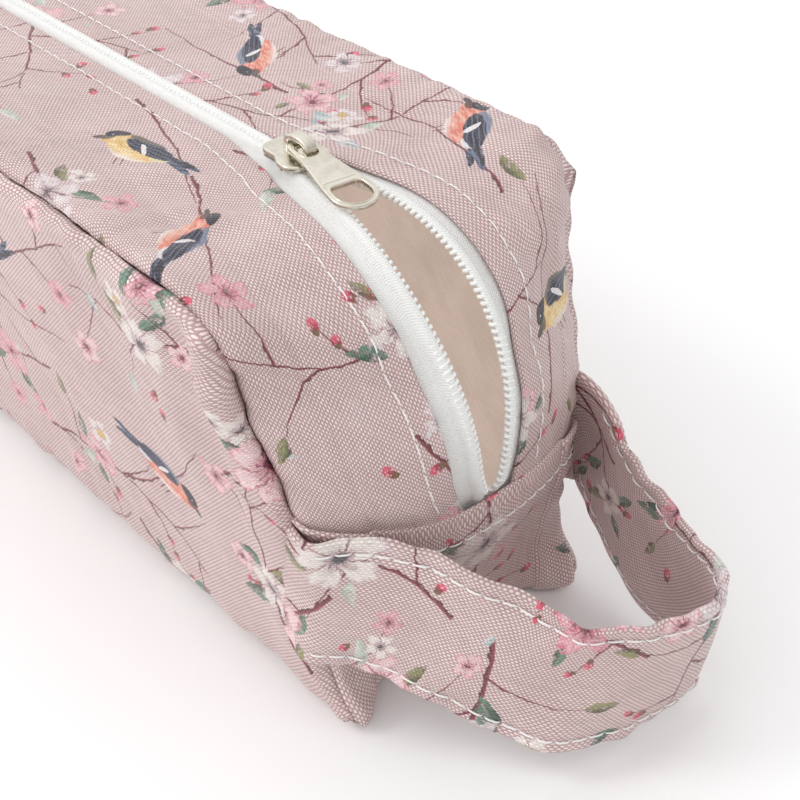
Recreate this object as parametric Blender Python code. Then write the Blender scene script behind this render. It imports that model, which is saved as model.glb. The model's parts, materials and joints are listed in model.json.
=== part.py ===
"""Zipped fabric makeup bag with a wrist strap.

Metres, +Z up. The origin is the centre of the flat base on the ground, +X runs along the zip
towards the wrist strap, and the front side panel faces -Y. The slider stands part way along the
top, so the zip's mouth is open between it and the strap end.
"""
import math

import bmesh
import bpy
from mathutils import Matrix, Vector

# Looks: base colour, metallic, roughness
PINK_CLOTH = ((0.67, 0.48, 0.49), 0.0, 0.75)
TAN_CLOTH = ((0.61, 0.47, 0.39), 0.0, 0.8)
WHITE_TAPE = ((0.85, 0.85, 0.81), 0.0, 0.7)
WHITE_THREAD = ((0.88, 0.87, 0.85), 0.0, 0.6)
WHITE_NYLON = ((0.86, 0.86, 0.84), 0.0, 0.35)
NICKEL = ((0.72, 0.72, 0.70), 1.0, 0.28)

# Bag shell
HEIGHT = 0.0920
HALF_BASE_LENGTH = 0.1045
HALF_WAIST_LENGTH = 0.1035
HALF_TOP_LENGTH = 0.0945
BOTTOM_CORNER = 0.0030
TOP_CORNER = 0.0130
HALF_BASE_WIDTH = 0.0315
HALF_TOP_WIDTH = 0.0425
SIDE_BULGE = 0.0045
JUNCTION_HEIGHT = 0.0460
MID_JUNCTION_HEIGHT = 0.0410

# Cloth thicknesses and how deep each layer lies under the outer cloth's middle
FABRIC = 0.0008
TAPE = 0.0005
LINING = 0.0005
SEAM_GAP = 0.0003
TAPE_DEPTH = 0.00095
LINING_DEPTH = 0.00180
THREAD_WIDTH = 0.0007
THREAD = 0.0003
THREAD_LIFT = 0.00085

# Zip
SLIDER_X = 0.0620
CLOSED_HALF_GAP = 0.00015
NECK_HALF_GAP = 0.0016
MOUTH_HALF_GAP = 0.0060
COIL_WIDTH = 0.0022
COIL_HEIGHT = 0.0016
COIL_LIFT = 0.00035
TAPE_WIDTH = 0.0120
VISIBLE_TAPE = 0.0058
TOPSTITCH_INSET = 0.0048

# Slider and pull tab
PLATE = 0.0010
SLIDER_REAR = -0.0060
SLIDER_NOSE = 0.0062
REAR_HALF_WIDTH = 0.0036
NOSE_HALF_WIDTH = 0.0056
CROWN_WIDTH = 0.0026
BAR_HEIGHT = 0.0017
TAB_THICKNESS = 0.0012
TAB_REST_TILT = math.radians(5.0)
TAB_PIVOT_X = SLIDER_X + 0.0022

# Wrist strap
STRAP_WIDTH = 0.0300
STRAP = 0.0016
STRAP_PIVOT = Vector((0.1050, 0.0, 0.0350))
STRAP_STITCH_OFFSET = 0.0120


def clear_scene():
    for item in list(bpy.data.objects):
        bpy.data.objects.remove(item, do_unlink=True)


def make_material(name, colour, metallic, roughness):
    material = bpy.data.materials.new(name)
    material.use_nodes = True
    shader = material.node_tree.nodes["Principled BSDF"]
    shader.inputs["Base Color"].default_value = (*colour, 1.0)
    shader.inputs["Metallic"].default_value = metallic
    shader.inputs["Roughness"].default_value = roughness
    return material


def add_object(name, bm, look, origin=Vector((0.0, 0.0, 0.0))):
    """Turn a bmesh in world coordinates into a named object with its origin at a given point."""
    bmesh.ops.recalc_face_normals(bm, faces=bm.faces)
    bmesh.ops.transform(bm, matrix=Matrix.Translation(-origin), verts=bm.verts)
    mesh = bpy.data.meshes.new(name)
    bm.to_mesh(mesh)
    bm.free()
    item = bpy.data.objects.new(name, mesh)
    item.location = origin
    bpy.context.scene.collection.objects.link(item)
    mesh.materials.append(make_material(name, *look))
    return item


# ---------------------------------------------------------------- outlines of the shell

def rounded_path(corners):
    """Sample a polyline in the XZ plane whose inner corners are rounded to given radii."""
    points = [Vector(corners[0][:2])]
    for before, corner, after in zip(corners, corners[1:], corners[2:]):
        here = Vector(corner[:2])
        into = (Vector(before[:2]) - here).normalized()
        out = (Vector(after[:2]) - here).normalized()
        half = into.angle(out) / 2.0
        reach = corner[2] / math.tan(half)
        centre = here + (into + out).normalized() * (corner[2] / math.sin(half))
        start = here + into * reach - centre
        sweep = math.pi - 2.0 * half
        ahead = out - into
        turn = 1.0 if start.x * ahead.y - start.y * ahead.x > 0.0 else -1.0
        for step in range(9):
            angle = turn * sweep * step / 8.0
            cos, sin = math.cos(angle), math.sin(angle)
            points.append(centre + Vector((start.x * cos - start.y * sin,
                                           start.x * sin + start.y * cos)))
    points.append(Vector(corners[-1][:2]))
    return points


def path_length(points):
    return sum((b - a).length for a, b in zip(points, points[1:]))


def along_path(points, distance):
    for a, b in zip(points, points[1:]):
        step = (b - a).length
        if distance <= step:
            return a.lerp(b, max(distance, 0.0) / max(step, 1e-9))
        distance -= step
    return points[-1].copy()


def length_to_height(points, height):
    """Distance along a path to the point where it first climbs to a height."""
    run = 0.0
    for a, b in zip(points, points[1:]):
        if b.y >= height:
            return run + (b - a).length * (height - a.y) / (b.y - a.y)
        run += (b - a).length
    return run


FLOOR = FABRIC / 2.0
SEAM_PATH = rounded_path([
    (0.0, FLOOR, 0.0), (HALF_BASE_LENGTH, FLOOR, BOTTOM_CORNER), (HALF_WAIST_LENGTH, 0.050, 0.020),
    (HALF_TOP_LENGTH, 0.070, 0.016), (HALF_TOP_LENGTH, HEIGHT, TOP_CORNER), (0.0, HEIGHT, 0.0)])
MIDDLE_PATH = rounded_path([
    (0.0, FLOOR, 0.0), (HALF_BASE_LENGTH, FLOOR, 0.004), (0.1155, 0.036, 0.030),
    (0.1140, 0.0910, 0.037), (0.0, 0.0910, 0.0)])


def half_width(height):
    """Half the bag's width at the side seams."""
    return HALF_BASE_WIDTH + (HALF_TOP_WIDTH - HALF_BASE_WIDTH) * (height / HEIGHT) ** 2


def smoothstep(low, high, value):
    t = min(max((value - low) / (high - low), 0.0), 1.0)
    return t * t * (3.0 - 2.0 * t)


def strip_point(share, y, base):
    """Point on the strip round the bag's edge.

    share runs 0 at the top (or base) centre to +-1 at the end junctions; y is measured across.
    """
    pieces = []
    for path, height in ((SEAM_PATH, JUNCTION_HEIGHT), (MIDDLE_PATH, MID_JUNCTION_HEIGHT)):
        junction = length_to_height(path, height)
        top = path_length(path)
        distance = abs(share) * junction if base else top - abs(share) * (top - junction)
        pieces.append(along_path(path, distance))
    seam, middle = pieces
    across = min(abs(y) / half_width(seam.y), 1.0)
    spot = middle.lerp(seam, across ** 2.4)
    return Vector((math.copysign(spot.x, share), y, spot.y))


def zip_seam_y(share):
    """Half the width at the side seam beside a station of the zip strip."""
    junction = length_to_height(SEAM_PATH, JUNCTION_HEIGHT)
    top = path_length(SEAM_PATH)
    return half_width(along_path(SEAM_PATH, top - abs(share) * (top - junction)).y)


def mouth_half_gap(share):
    """Half the opening between the zip's two edges, closed behind the slider."""
    if share <= 0.0:
        return CLOSED_HALF_GAP
    x = strip_point(share, 0.0, False).x
    at_neck = smoothstep(SLIDER_X - 0.0006, SLIDER_X + 0.0038, x)
    top = path_length(MIDDLE_PATH)
    run = top - length_to_height(MIDDLE_PATH, MID_JUNCTION_HEIGHT)
    start = (SLIDER_X + 0.0038) / run
    beyond = min(max((share - start) / (1.0 - start), 0.0), 1.0)
    spread = math.sin(math.pi * beyond ** 0.9) ** 1.2 if 0.0 < beyond < 1.0 else 0.0
    closing = 1.0 - smoothstep(0.93, 1.0, share)
    neck = (NECK_HALF_GAP - CLOSED_HALF_GAP) * at_neck * closing
    return CLOSED_HALF_GAP + neck + (MOUTH_HALF_GAP - NECK_HALF_GAP) * spread


# ---------------------------------------------------------------- sheets of cloth

def sheet(name, surface, columns, rows, thickness, look, origin=Vector((0.0, 0.0, 0.0))):
    """A closed sheet of even thickness about a surface given as surface(s, t), both 0 to 1."""
    bm = bmesh.new()
    grid = [[bm.verts.new(surface(i / columns, j / rows)) for j in range(rows + 1)]
            for i in range(columns + 1)]
    for i in range(columns):
        for j in range(rows):
            bm.faces.new((grid[i][j], grid[i + 1][j], grid[i + 1][j + 1], grid[i][j + 1]))
    item = add_object(name, bm, look, origin)
    solid = item.modifiers.new("thickness", "SOLIDIFY")
    solid.thickness = thickness
    solid.offset = 0.0
    solid.use_even_offset = True
    return item


def lifted(surface, lift):
    """The same surface moved along its own normal."""
    def moved(s, t):
        step = 0.004
        s0, s1 = max(s - step, 0.0), min(s + step, 1.0)
        t0, t1 = max(t - step, 0.0), min(t + step, 1.0)
        along = surface(s1, t) - surface(s0, t)
        across = surface(s, t1) - surface(s, t0)
        return surface(s, t) + along.cross(across).normalized() * lift
    return moved


def zip_strip(side, inner, outer, end):
    """Surface along the zip on one side: inner and outer give its two edges' y at a station."""
    def surface(s, t):
        share = (2.0 * s - 1.0) * end
        low, high = inner(share), outer(share)
        if side > 0:
            return strip_point(share, low + (high - low) * t, False)
        return strip_point(share, -high + (high - low) * t, False)
    return surface


def base_strip(narrowing, end):
    def surface(s, t):
        share = (1.0 - 2.0 * s) * end
        path_run = length_to_height(SEAM_PATH, JUNCTION_HEIGHT)
        edge = half_width(along_path(SEAM_PATH, abs(share) * path_run).y) - narrowing
        return strip_point(share, edge * (2.0 * t - 1.0), True)
    return surface


def side_panel(side, grow, inset, bulge):
    """Side panel: grow widens its outline past the seam, inset moves it in from the seam plane."""
    rows_high = [0.0, 0.06, 0.16, 0.28, 0.40, 0.50, 0.60, 0.70, 0.80, 0.90, 1.0]

    def surface(s, t):
        place = t * (len(rows_high) - 1)
        low = min(int(place), len(rows_high) - 2)
        run = rows_high[low] + (rows_high[low + 1] - rows_high[low]) * (place - low)
        corner_start = HALF_BASE_LENGTH - BOTTOM_CORNER
        top_run = path_length(SEAM_PATH) - (HALF_TOP_LENGTH - TOP_CORNER)
        edge = along_path(SEAM_PATH, corner_start + (top_run - corner_start) * run)
        z = max(edge.y + grow * (2.0 * run - 1.0), FLOOR / 2.0)
        x = (edge.x + grow) * (2.0 * s - 1.0)
        fill = (1.0 - (2.0 * s - 1.0) ** 4) * math.sin(math.pi * run) ** 0.7
        y = half_width(z) + inset + bulge * fill
        return Vector((x * side, y * side, z))
    return surface


def build_shell():
    for word, side in (("front", -1), ("back", 1)):
        outside = side_panel(side, 0.0003, FABRIC / 2.0 + SEAM_GAP, SIDE_BULGE)
        sheet(f"{word}_panel", outside, 24, 20, FABRIC, PINK_CLOTH)
        inside = side_panel(side, -0.0030, -0.0021, SIDE_BULGE)
        sheet(f"lining_{word}_panel", inside, 20, 12, LINING, TAN_CLOTH)

        fold = zip_strip(side, lambda u: mouth_half_gap(u) + VISIBLE_TAPE,
                         lambda u: zip_seam_y(u) - SEAM_GAP, 0.994)
        sheet(f"zip_gusset_{word}", fold, 60, 6, FABRIC, PINK_CLOTH)

        cover = zip_strip(side, lambda u: mouth_half_gap(u) + VISIBLE_TAPE + 0.0020,
                          lambda u: zip_seam_y(u) - 0.0032, 0.990)
        sheet(f"lining_gusset_{word}", lifted(cover, -LINING_DEPTH), 48, 4, LINING, TAN_CLOTH)

        tape = zip_strip(side, mouth_half_gap,
                         lambda u: mouth_half_gap(u) + TAPE_WIDTH, 0.992)
        sheet(f"zipper_tape_{word}", lifted(tape, -TAPE_DEPTH), 72, 2, TAPE, WHITE_TAPE)

        coil = zip_strip(side, mouth_half_gap, lambda u: mouth_half_gap(u) + COIL_WIDTH, 0.988)
        ridge = sheet(f"zipper_coil_{word}", lifted(coil, COIL_LIFT), 84, 1, COIL_HEIGHT, WHITE_NYLON)
        rounding = ridge.modifiers.new("rounding", "BEVEL")
        rounding.width = 0.0004
        rounding.segments = 1
        rounding.limit_method = "ANGLE"

        inset = VISIBLE_TAPE + TOPSTITCH_INSET
        row = zip_strip(side, lambda u: mouth_half_gap(u) + inset,
                        lambda u: mouth_half_gap(u) + inset + THREAD_WIDTH, 0.990)
        sheet(f"topstitch_{word}", lifted(row, THREAD_LIFT), 60, 1, THREAD, WHITE_THREAD)

    base = base_strip(SEAM_GAP, 0.990)
    sheet("base_gusset", base, 64, 8, FABRIC, PINK_CLOTH)
    sheet("lining_base", lifted(base_strip(0.0035, 0.985), -LINING_DEPTH), 48, 6, LINING, TAN_CLOTH)

    for word, direction in (("strap_end", 1.0), ("far_end", -1.0)):
        def row(s, t, direction=direction):
            share = direction * (0.905 - 0.010 * t)
            y = (2.0 * s - 1.0) * (half_width(JUNCTION_HEIGHT) - 0.0015) * direction
            return strip_point(share, y, True)
        sheet(f"junction_stitch_{word}", lifted(row, THREAD_LIFT), 24, 1, THREAD, WHITE_THREAD)


# ---------------------------------------------------------------- slider and pull tab

def prism(name, outline, low, high, look, origin):
    """Upright prism on an XY outline."""
    bm = bmesh.new()
    face = bm.faces.new([bm.verts.new((x, y, low)) for x, y in outline])
    raised = bmesh.ops.extrude_face_region(bm, geom=[face])
    moved = [v for v in raised["geom"] if isinstance(v, bmesh.types.BMVert)]
    bmesh.ops.translate(bm, verts=moved, vec=(0.0, 0.0, high - low))
    return add_object(name, bm, look, origin)


def combine(target, other, operation):
    """Boolean with a helper object that is kept hidden."""
    step = target.modifiers.new(operation.lower(), "BOOLEAN")
    step.operation = operation
    step.solver = "EXACT"
    step.object = other
    other.hide_render = True
    other.display_type = "WIRE"


def shield(grow):
    """Plan outline of the slider: narrow at the rear, wide and rounded at the nose."""
    rear = SLIDER_X + SLIDER_REAR - grow
    nose = SLIDER_X + SLIDER_NOSE + grow
    points = []
    for step in range(7):
        angle = math.pi / 2.0 * (1.0 - step / 3.0)
        points.append((nose - 0.003 + 0.003 * math.cos(angle),
                       (NOSE_HALF_WIDTH + grow) * math.sin(angle)))
    narrow = REAR_HALF_WIDTH + grow
    points += [(SLIDER_X - 0.0005, -narrow), (rear + 0.0010, -narrow), (rear, -narrow + 0.0010),
               (rear, narrow - 0.0010), (rear + 0.0010, narrow), (SLIDER_X - 0.0005, narrow)]
    return points


def soften(item, width, segments=2):
    bevel = item.modifiers.new("soft edges", "BEVEL")
    bevel.width = width
    bevel.segments = segments
    bevel.limit_method = "ANGLE"


def build_slider():
    zip_level = strip_point(0.2, 0.0, False).z
    plate_bottom = zip_level + COIL_LIFT + COIL_HEIGHT / 2.0 + 0.0003
    plate_top = plate_bottom + PLATE
    sole_top = zip_level - TAPE_DEPTH - TAPE / 2.0 - 0.0003
    origin = Vector((SLIDER_X, 0.0, zip_level))

    body = prism("slider_body", shield(0.0), plate_bottom, plate_top, NICKEL, origin)
    sole = prism("cutter_sole", shield(-0.0004), sole_top - PLATE, sole_top, NICKEL, origin)
    neck_x = SLIDER_X + 0.0042
    neck = prism("cutter_neck", [(neck_x - 0.0016, 0.0), (neck_x, -0.0011),
                                 (neck_x + 0.0014, 0.0), (neck_x, 0.0011)],
                 sole_top - PLATE / 2.0, plate_top - PLATE / 2.0, NICKEL, origin)
    combine(body, sole, "UNION")
    combine(body, neck, "UNION")
    for side in (-1.0, 1.0):
        rear, nose = REAR_HALF_WIDTH * side, NOSE_HALF_WIDTH * side
        wall = 0.0007 * side
        x0, x1 = SLIDER_X + SLIDER_REAR + 0.0012, SLIDER_X + SLIDER_NOSE - 0.0032
        flange = prism(f"cutter_flange_{'back' if side > 0 else 'front'}",
                       [(x0, rear - 0.00001 * side), (SLIDER_X - 0.0006, rear - 0.00001 * side),
                        (x1, nose - 0.00012 * side), (x1, nose - wall),
                        (SLIDER_X - 0.0006, rear - wall), (x0, rear - wall)],
                       zip_level - TAPE_DEPTH + TAPE / 2.0 + 0.0003,
                       plate_top - PLATE / 2.0, NICKEL, origin)
        combine(body, flange, "UNION")

    pivot = Vector((TAB_PIVOT_X, 0.0, plate_top + BAR_HEIGHT))
    arch = bmesh.new()
    ring = []
    for step in range(11):
        angle = math.pi * step / 10.0
        ring.append((3.4 * math.cos(angle), 2.25 * math.sin(angle) ** 0.8))
    for step in range(11):
        angle = math.pi * (10 - step) / 10.0
        ring.append((2.2 * math.cos(angle), 1.15 * math.sin(angle) ** 0.8))
    foot = -(BAR_HEIGHT - 0.0001) * 1000.0
    outline = [(3.4, foot)] + ring[:11] + [(-3.4, foot), (-2.2, foot)] + ring[11:] + [(2.2, foot)]
    face = arch.faces.new([arch.verts.new((pivot.x + x / 1000.0, -CROWN_WIDTH / 2.0,
                                           pivot.z + z / 1000.0)) for x, z in outline])
    raised = bmesh.ops.extrude_face_region(arch, geom=[face])
    moved = [v for v in raised["geom"] if isinstance(v, bmesh.types.BMVert)]
    bmesh.ops.translate(arch, verts=moved, vec=(0.0, CROWN_WIDTH, 0.0))
    crown = add_object("slider_crown", arch, NICKEL, origin)
    soften(crown, 0.00025)
    return pivot


def oval(centre, half_length, half_width_, steps=16):
    points = []
    for step in range(steps):
        angle = 2.0 * math.pi * step / steps
        points.append((centre + half_length * math.cos(angle), half_width_ * math.sin(angle)))
    return points


def build_tab(pivot):
    edge = [(-0.0006, 0.0026), (0.0005, 0.0030), (0.0060, 0.0032), (0.0185, 0.0047),
            (0.0206, 0.0043), (0.0217, 0.0027)]
    outline = [(x, -y) for x, y in edge] + edge[::-1]
    half = TAB_THICKNESS / 2.0
    tab = prism("pull_tab", outline, -half, half, NICKEL, Vector((0.0, 0.0, 0.0)))
    holes = (("cutter_crown_hole", [(0.0006, -0.0017), (0.0038, -0.0017), (0.0044, -0.0009),
                                    (0.0044, 0.0009), (0.0038, 0.0017), (0.0006, 0.0017)]),
             ("cutter_grip_hole", oval(0.0160, 0.0037, 0.0025)))
    for name, shape in holes:
        hole = prism(name, shape, -0.002, 0.002, NICKEL, Vector((0.0, 0.0, 0.0)))
        combine(tab, hole, "DIFFERENCE")
        hole.parent = tab
    soften(tab, 0.0002, 1)
    tab.location = pivot
    tab.rotation_euler = (0.0, TAB_REST_TILT, 0.0)


# ---------------------------------------------------------------- wrist strap

STRAP_STATIONS = [
    # x, y, height of the strap's middle, lean of its width from upright in degrees
    (0.1068, -0.0352, 0.0355, 0.0),
    (0.1130, -0.0290, 0.0345, 4.0),
    (0.1210, -0.0220, 0.0315, 8.0),
    (0.1290, -0.0170, 0.0280, 10.0),
    (0.1360, -0.0120, 0.0240, 8.0),
    (0.1430, -0.0060, 0.0215, 4.0),
    (0.1480, 0.0020, 0.0205, -2.0),
    (0.1510, 0.0110, 0.0200, -8.0),
    (0.1515, 0.0200, 0.0195, -9.0),
    (0.1470, 0.0270, 0.0190, -2.0),
    (0.1390, 0.0300, 0.0185, 2.0),
    (0.1305, 0.0310, 0.0195, 0.0),
    (0.1220, 0.0325, 0.0235, 0.0),
    (0.1145, 0.0345, 0.0290, 3.0),
    (0.1068, 0.0362, 0.0345, 5.0),
]


def strap_centre(s):
    """Middle line of the strap as a smooth curve through its stations, with its lean."""
    place = s * (len(STRAP_STATIONS) - 1)
    low = min(int(place), len(STRAP_STATIONS) - 2)
    t = place - low
    picks = [STRAP_STATIONS[min(max(low + k, 0), len(STRAP_STATIONS) - 1)] for k in (-1, 0, 1, 2)]
    mixed = []
    for a, b, c, d in zip(*picks):
        mixed.append(0.5 * (2.0 * b + (c - a) * t + (2.0 * a - 5.0 * b + 4.0 * c - d) * t * t
                            + (3.0 * b - a - 3.0 * c + d) * t ** 3))
    return Vector(mixed[:3]), math.radians(mixed[3])


def strap_surface(low, high):
    """Surface of the strap between two distances from its middle line, low edge first."""
    def surface(s, t):
        centre, lean = strap_centre(s)
        ahead, _ = strap_centre(min(s + 0.01, 1.0))
        behind, _ = strap_centre(max(s - 0.01, 0.0))
        run = ahead - behind
        outward = Vector((run.y, -run.x, 0.0)).normalized()
        up = Vector((0.0, 0.0, math.cos(lean))) - outward * math.sin(lean)
        up -= run.normalized() * up.dot(run.normalized())
        return centre + up.normalized() * (low + (high - low) * t)
    return surface


def build_strap():
    half = STRAP_WIDTH / 2.0
    sheet("wrist_strap", strap_surface(-half, half), 56, 4, STRAP, PINK_CLOTH, STRAP_PIVOT)
    for level, offset in (("lower", -STRAP_STITCH_OFFSET), ("upper", STRAP_STITCH_OFFSET)):
        for face, lift in (("outer", 1.0), ("inner", -1.0)):
            row = strap_surface(offset - THREAD_WIDTH / 2.0, offset + THREAD_WIDTH / 2.0)
            off = lift * (STRAP / 2.0 + THREAD / 2.0 + 0.0003)
            sheet(f"strap_stitch_{level}_{face}", lifted(row, off), 56, 1, THREAD, WHITE_THREAD,
                  STRAP_PIVOT)


clear_scene()
build_shell()
build_tab(build_slider())
build_strap()
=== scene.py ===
"""Looks of the zipped fabric makeup bag, built in the CAD frame (metres, +Z up, strap end at +X)."""
import json
import math
import random

import bmesh
import bpy
import numpy as np
from mathutils import Matrix, Vector
from mathutils.bvhtree import BVHTree

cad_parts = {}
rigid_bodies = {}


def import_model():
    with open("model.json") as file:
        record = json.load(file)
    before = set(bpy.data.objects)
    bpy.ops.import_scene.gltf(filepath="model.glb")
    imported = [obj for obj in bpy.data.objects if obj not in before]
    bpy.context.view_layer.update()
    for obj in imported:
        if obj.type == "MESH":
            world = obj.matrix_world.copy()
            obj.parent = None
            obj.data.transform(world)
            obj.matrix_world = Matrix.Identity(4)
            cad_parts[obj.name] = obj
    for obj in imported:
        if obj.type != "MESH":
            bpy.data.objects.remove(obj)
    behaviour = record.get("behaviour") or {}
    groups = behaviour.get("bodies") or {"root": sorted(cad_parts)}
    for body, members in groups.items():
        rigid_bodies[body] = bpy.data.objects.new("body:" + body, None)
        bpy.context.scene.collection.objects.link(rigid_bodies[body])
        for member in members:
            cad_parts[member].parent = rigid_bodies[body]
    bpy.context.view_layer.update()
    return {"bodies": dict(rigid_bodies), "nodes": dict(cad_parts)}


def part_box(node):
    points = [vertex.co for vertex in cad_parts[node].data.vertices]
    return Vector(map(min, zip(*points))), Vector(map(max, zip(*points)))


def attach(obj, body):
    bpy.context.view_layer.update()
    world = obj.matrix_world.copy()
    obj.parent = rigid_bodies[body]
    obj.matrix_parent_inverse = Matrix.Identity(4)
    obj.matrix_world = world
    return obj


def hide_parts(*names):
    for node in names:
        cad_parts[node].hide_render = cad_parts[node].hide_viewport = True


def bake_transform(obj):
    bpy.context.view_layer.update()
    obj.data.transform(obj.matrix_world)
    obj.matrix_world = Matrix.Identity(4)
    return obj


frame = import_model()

MM = 0.001
BOX = {name: [np.array(c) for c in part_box(name)] for name in frame["nodes"]}
SIDES = (("front", -1), ("back", 1))
CENTRE = [0, 0, 0.045]  # a point inside the bag, which tells outwards from inwards

# Outline of the bag, as the CAD has it
HEIGHT = BOX["front_panel"][1][2] - 0.0006
HALF_BASE, HALF_WAIST, HALF_TOP = 0.1045, 0.1035, 0.0945
HALF_BASE_WIDTH, HALF_TOP_WIDTH = 0.0315, 0.0425
FLOOR, ZIP_Z = 0.0004, 0.0910
TOP_R, FOOT_R, MIDDLE_R, ZIP_R = 0.013, 0.003, 0.004, 0.037
SLIDER_X = float(BOX["slider_body"][0][0] + 0.0060)

# Stations: junction to top corner, along the top, junction to bottom corner, lip to seam
NJ, NS, NE, K = 15, 66, 15, 12
FINE = 3  # intervals of the finished mesh to one station
# Half openings of the zip: closed, just ahead of the slider, and the rest of the mouth's middle
CLOSED_GAP, NECK, GAPE = 0.00015, 0.00145, 0.0047
SLIDER_NOSE = 0.0038


# ------------------------------------------------------------------ small maths

def unit(v):
    v = np.asarray(v, float)
    return v / np.maximum(np.linalg.norm(v, axis=-1, keepdims=True), 1e-12)


def smooth(low, high, x):
    t = np.clip((np.asarray(x, float) - low) / (high - low), 0.0, 1.0)
    return t * t * (3.0 - 2.0 * t)


def lerp(a, b, t):
    return a + (b - a) * t


def bell(d, width):
    return np.exp(-(d / width) ** 2)


def ridge(d):
    """Profile that starts at nothing and is 1 high at 4.2 mm."""
    return (d / 0.0042) * np.exp(1 - d / 0.0042)


def rounded(corners, steps=20, closed=False):
    """Polyline past corners (x, y, radius), each one turned into an arc."""
    loop = [corners[-1], *corners, corners[0]] if closed else corners
    pts = [] if closed else [np.array(corners[0][:2])]
    for a, b, c in zip(loop, loop[1:], loop[2:]):
        here = np.array(b[:2])
        into, out = unit(np.array(a[:2]) - here), unit(np.array(c[:2]) - here)
        half = math.acos(np.clip(into @ out, -1, 1)) / 2.0
        if b[2] <= 0 or half > 1.55:
            pts.append(here)
            continue
        centre = here + unit(into + out) * (b[2] / math.sin(half))
        start = here + into * (b[2] / math.tan(half)) - centre
        ahead = out - into
        turn = math.copysign(math.pi - 2.0 * half, start[0] * ahead[1] - start[1] * ahead[0])
        for i in range(steps + 1):
            co, si = math.cos(turn * i / steps), math.sin(turn * i / steps)
            pts.append(centre + [start[0] * co - start[1] * si, start[0] * si + start[1] * co])
    return np.array(pts if closed else pts + [np.array(corners[-1][:2])])


def lengths(path):
    return np.concatenate([[0.0], np.cumsum(np.linalg.norm(np.diff(path, axis=0), axis=1))])


def across_lengths(p):
    return np.array([lengths(row) for row in p])


def along_lengths(p):
    """Distance along each line of stations, measured from the middle one."""
    run = across_lengths(np.moveaxis(p, 0, 1)).T
    return run - run[len(run) // 2]


def columns(d, run, values):
    """Each column of values, interpolated at d."""
    return np.stack([np.interp(d, run, v) for v in np.asarray(values).T], -1)


def calm(grid, rounds=14):
    """A smoothed copy of a grid that keeps its border rows."""
    g = grid.copy()
    for _ in range(rounds):
        g[1:-1] = 0.25 * g[:-2] + 0.5 * g[1:-1] + 0.25 * g[2:]
        g[:, 1:-1] = 0.25 * g[:, :-2] + 0.5 * g[:, 1:-1] + 0.25 * g[:, 2:]
    return g


def waves(x, seed, base, count=5):
    """Smooth seeded noise along one coordinate, about -1 to 1."""
    rng = random.Random(seed)
    total = np.zeros_like(np.asarray(x, float))
    for _ in range(count):
        k = 2 * math.pi / (base * (0.6 + 1.6 * rng.random()))
        total += math.sqrt(2.0 / count) * np.sin(k * x + rng.random() * 6.28) * 0.8
    return total


def refine(grid, factor, axis):
    """Cubic resampling of a grid that keeps its own points."""
    g = np.moveaxis(np.asarray(grid, float), axis, 0)
    n = len(g) - 1
    ends = np.concatenate([[2 * g[0] - g[1]], g, [2 * g[-1] - g[-2]]])
    s = np.arange(n * factor + 1) / factor
    i = np.minimum(s.astype(int), n - 1)
    t = (s - i).reshape(-1, *([1] * (g.ndim - 1)))
    a, b, c, d = ends[i], ends[i + 1], ends[i + 2], ends[i + 3]
    out = 0.5 * (2 * b + (c - a) * t + (2 * a - 5 * b + 4 * c - d) * t ** 2
                 + (3 * b - a - 3 * c + d) * t ** 3)
    return np.moveaxis(out, 0, axis)


def fine(p):
    return refine(refine(p, FINE, 0), FINE, 1)


class Path:
    """A rounded outline that is read by distance along it."""

    def __init__(self, corners):
        raw = rounded(corners)
        run = lengths(raw)
        self.pts = columns(np.linspace(0, run[-1], 600), run, raw)
        self.run = lengths(self.pts)
        self.total = self.run[-1]

    def at(self, d):
        return columns(d, self.run, self.pts)

    def climb(self, z):
        return self.run[int(np.argmax(self.pts[:, 1] >= z))]


SEAM = Path([(0, FLOOR, 0), (HALF_BASE, FLOOR, FOOT_R), (HALF_WAIST, 0.050, 0.020),
             (HALF_TOP, 0.070, 0.016), (HALF_TOP, HEIGHT, TOP_R), (0, HEIGHT, 0)])
MIDDLE = Path([(0, FLOOR, 0), (HALF_BASE, FLOOR, MIDDLE_R), (0.1155, 0.036, 0.030),
               (0.1140, ZIP_Z, ZIP_R), (0, ZIP_Z, 0)])
S_END = MIDDLE.total - MIDDLE.climb(0.041)


def half_gap(s):
    """Half the opening between the zip's edges, at distance s past the top's centre."""
    start = SLIDER_X + SLIDER_NOSE
    run = S_END - start
    t = np.clip((s - start) / run, 0, 1)
    neck = smooth(SLIDER_X - 0.0006, start, s) * (1.0 - smooth(0.93 * S_END, S_END, s))
    spread = np.sin(np.pi * t ** 0.9) ** 1.2
    return CLOSED_GAP + NECK * neck + GAPE * math.sqrt(run / 0.085) * np.maximum(spread, 0)


# ------------------------------------------------------------------ designed shape of the shell

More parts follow.
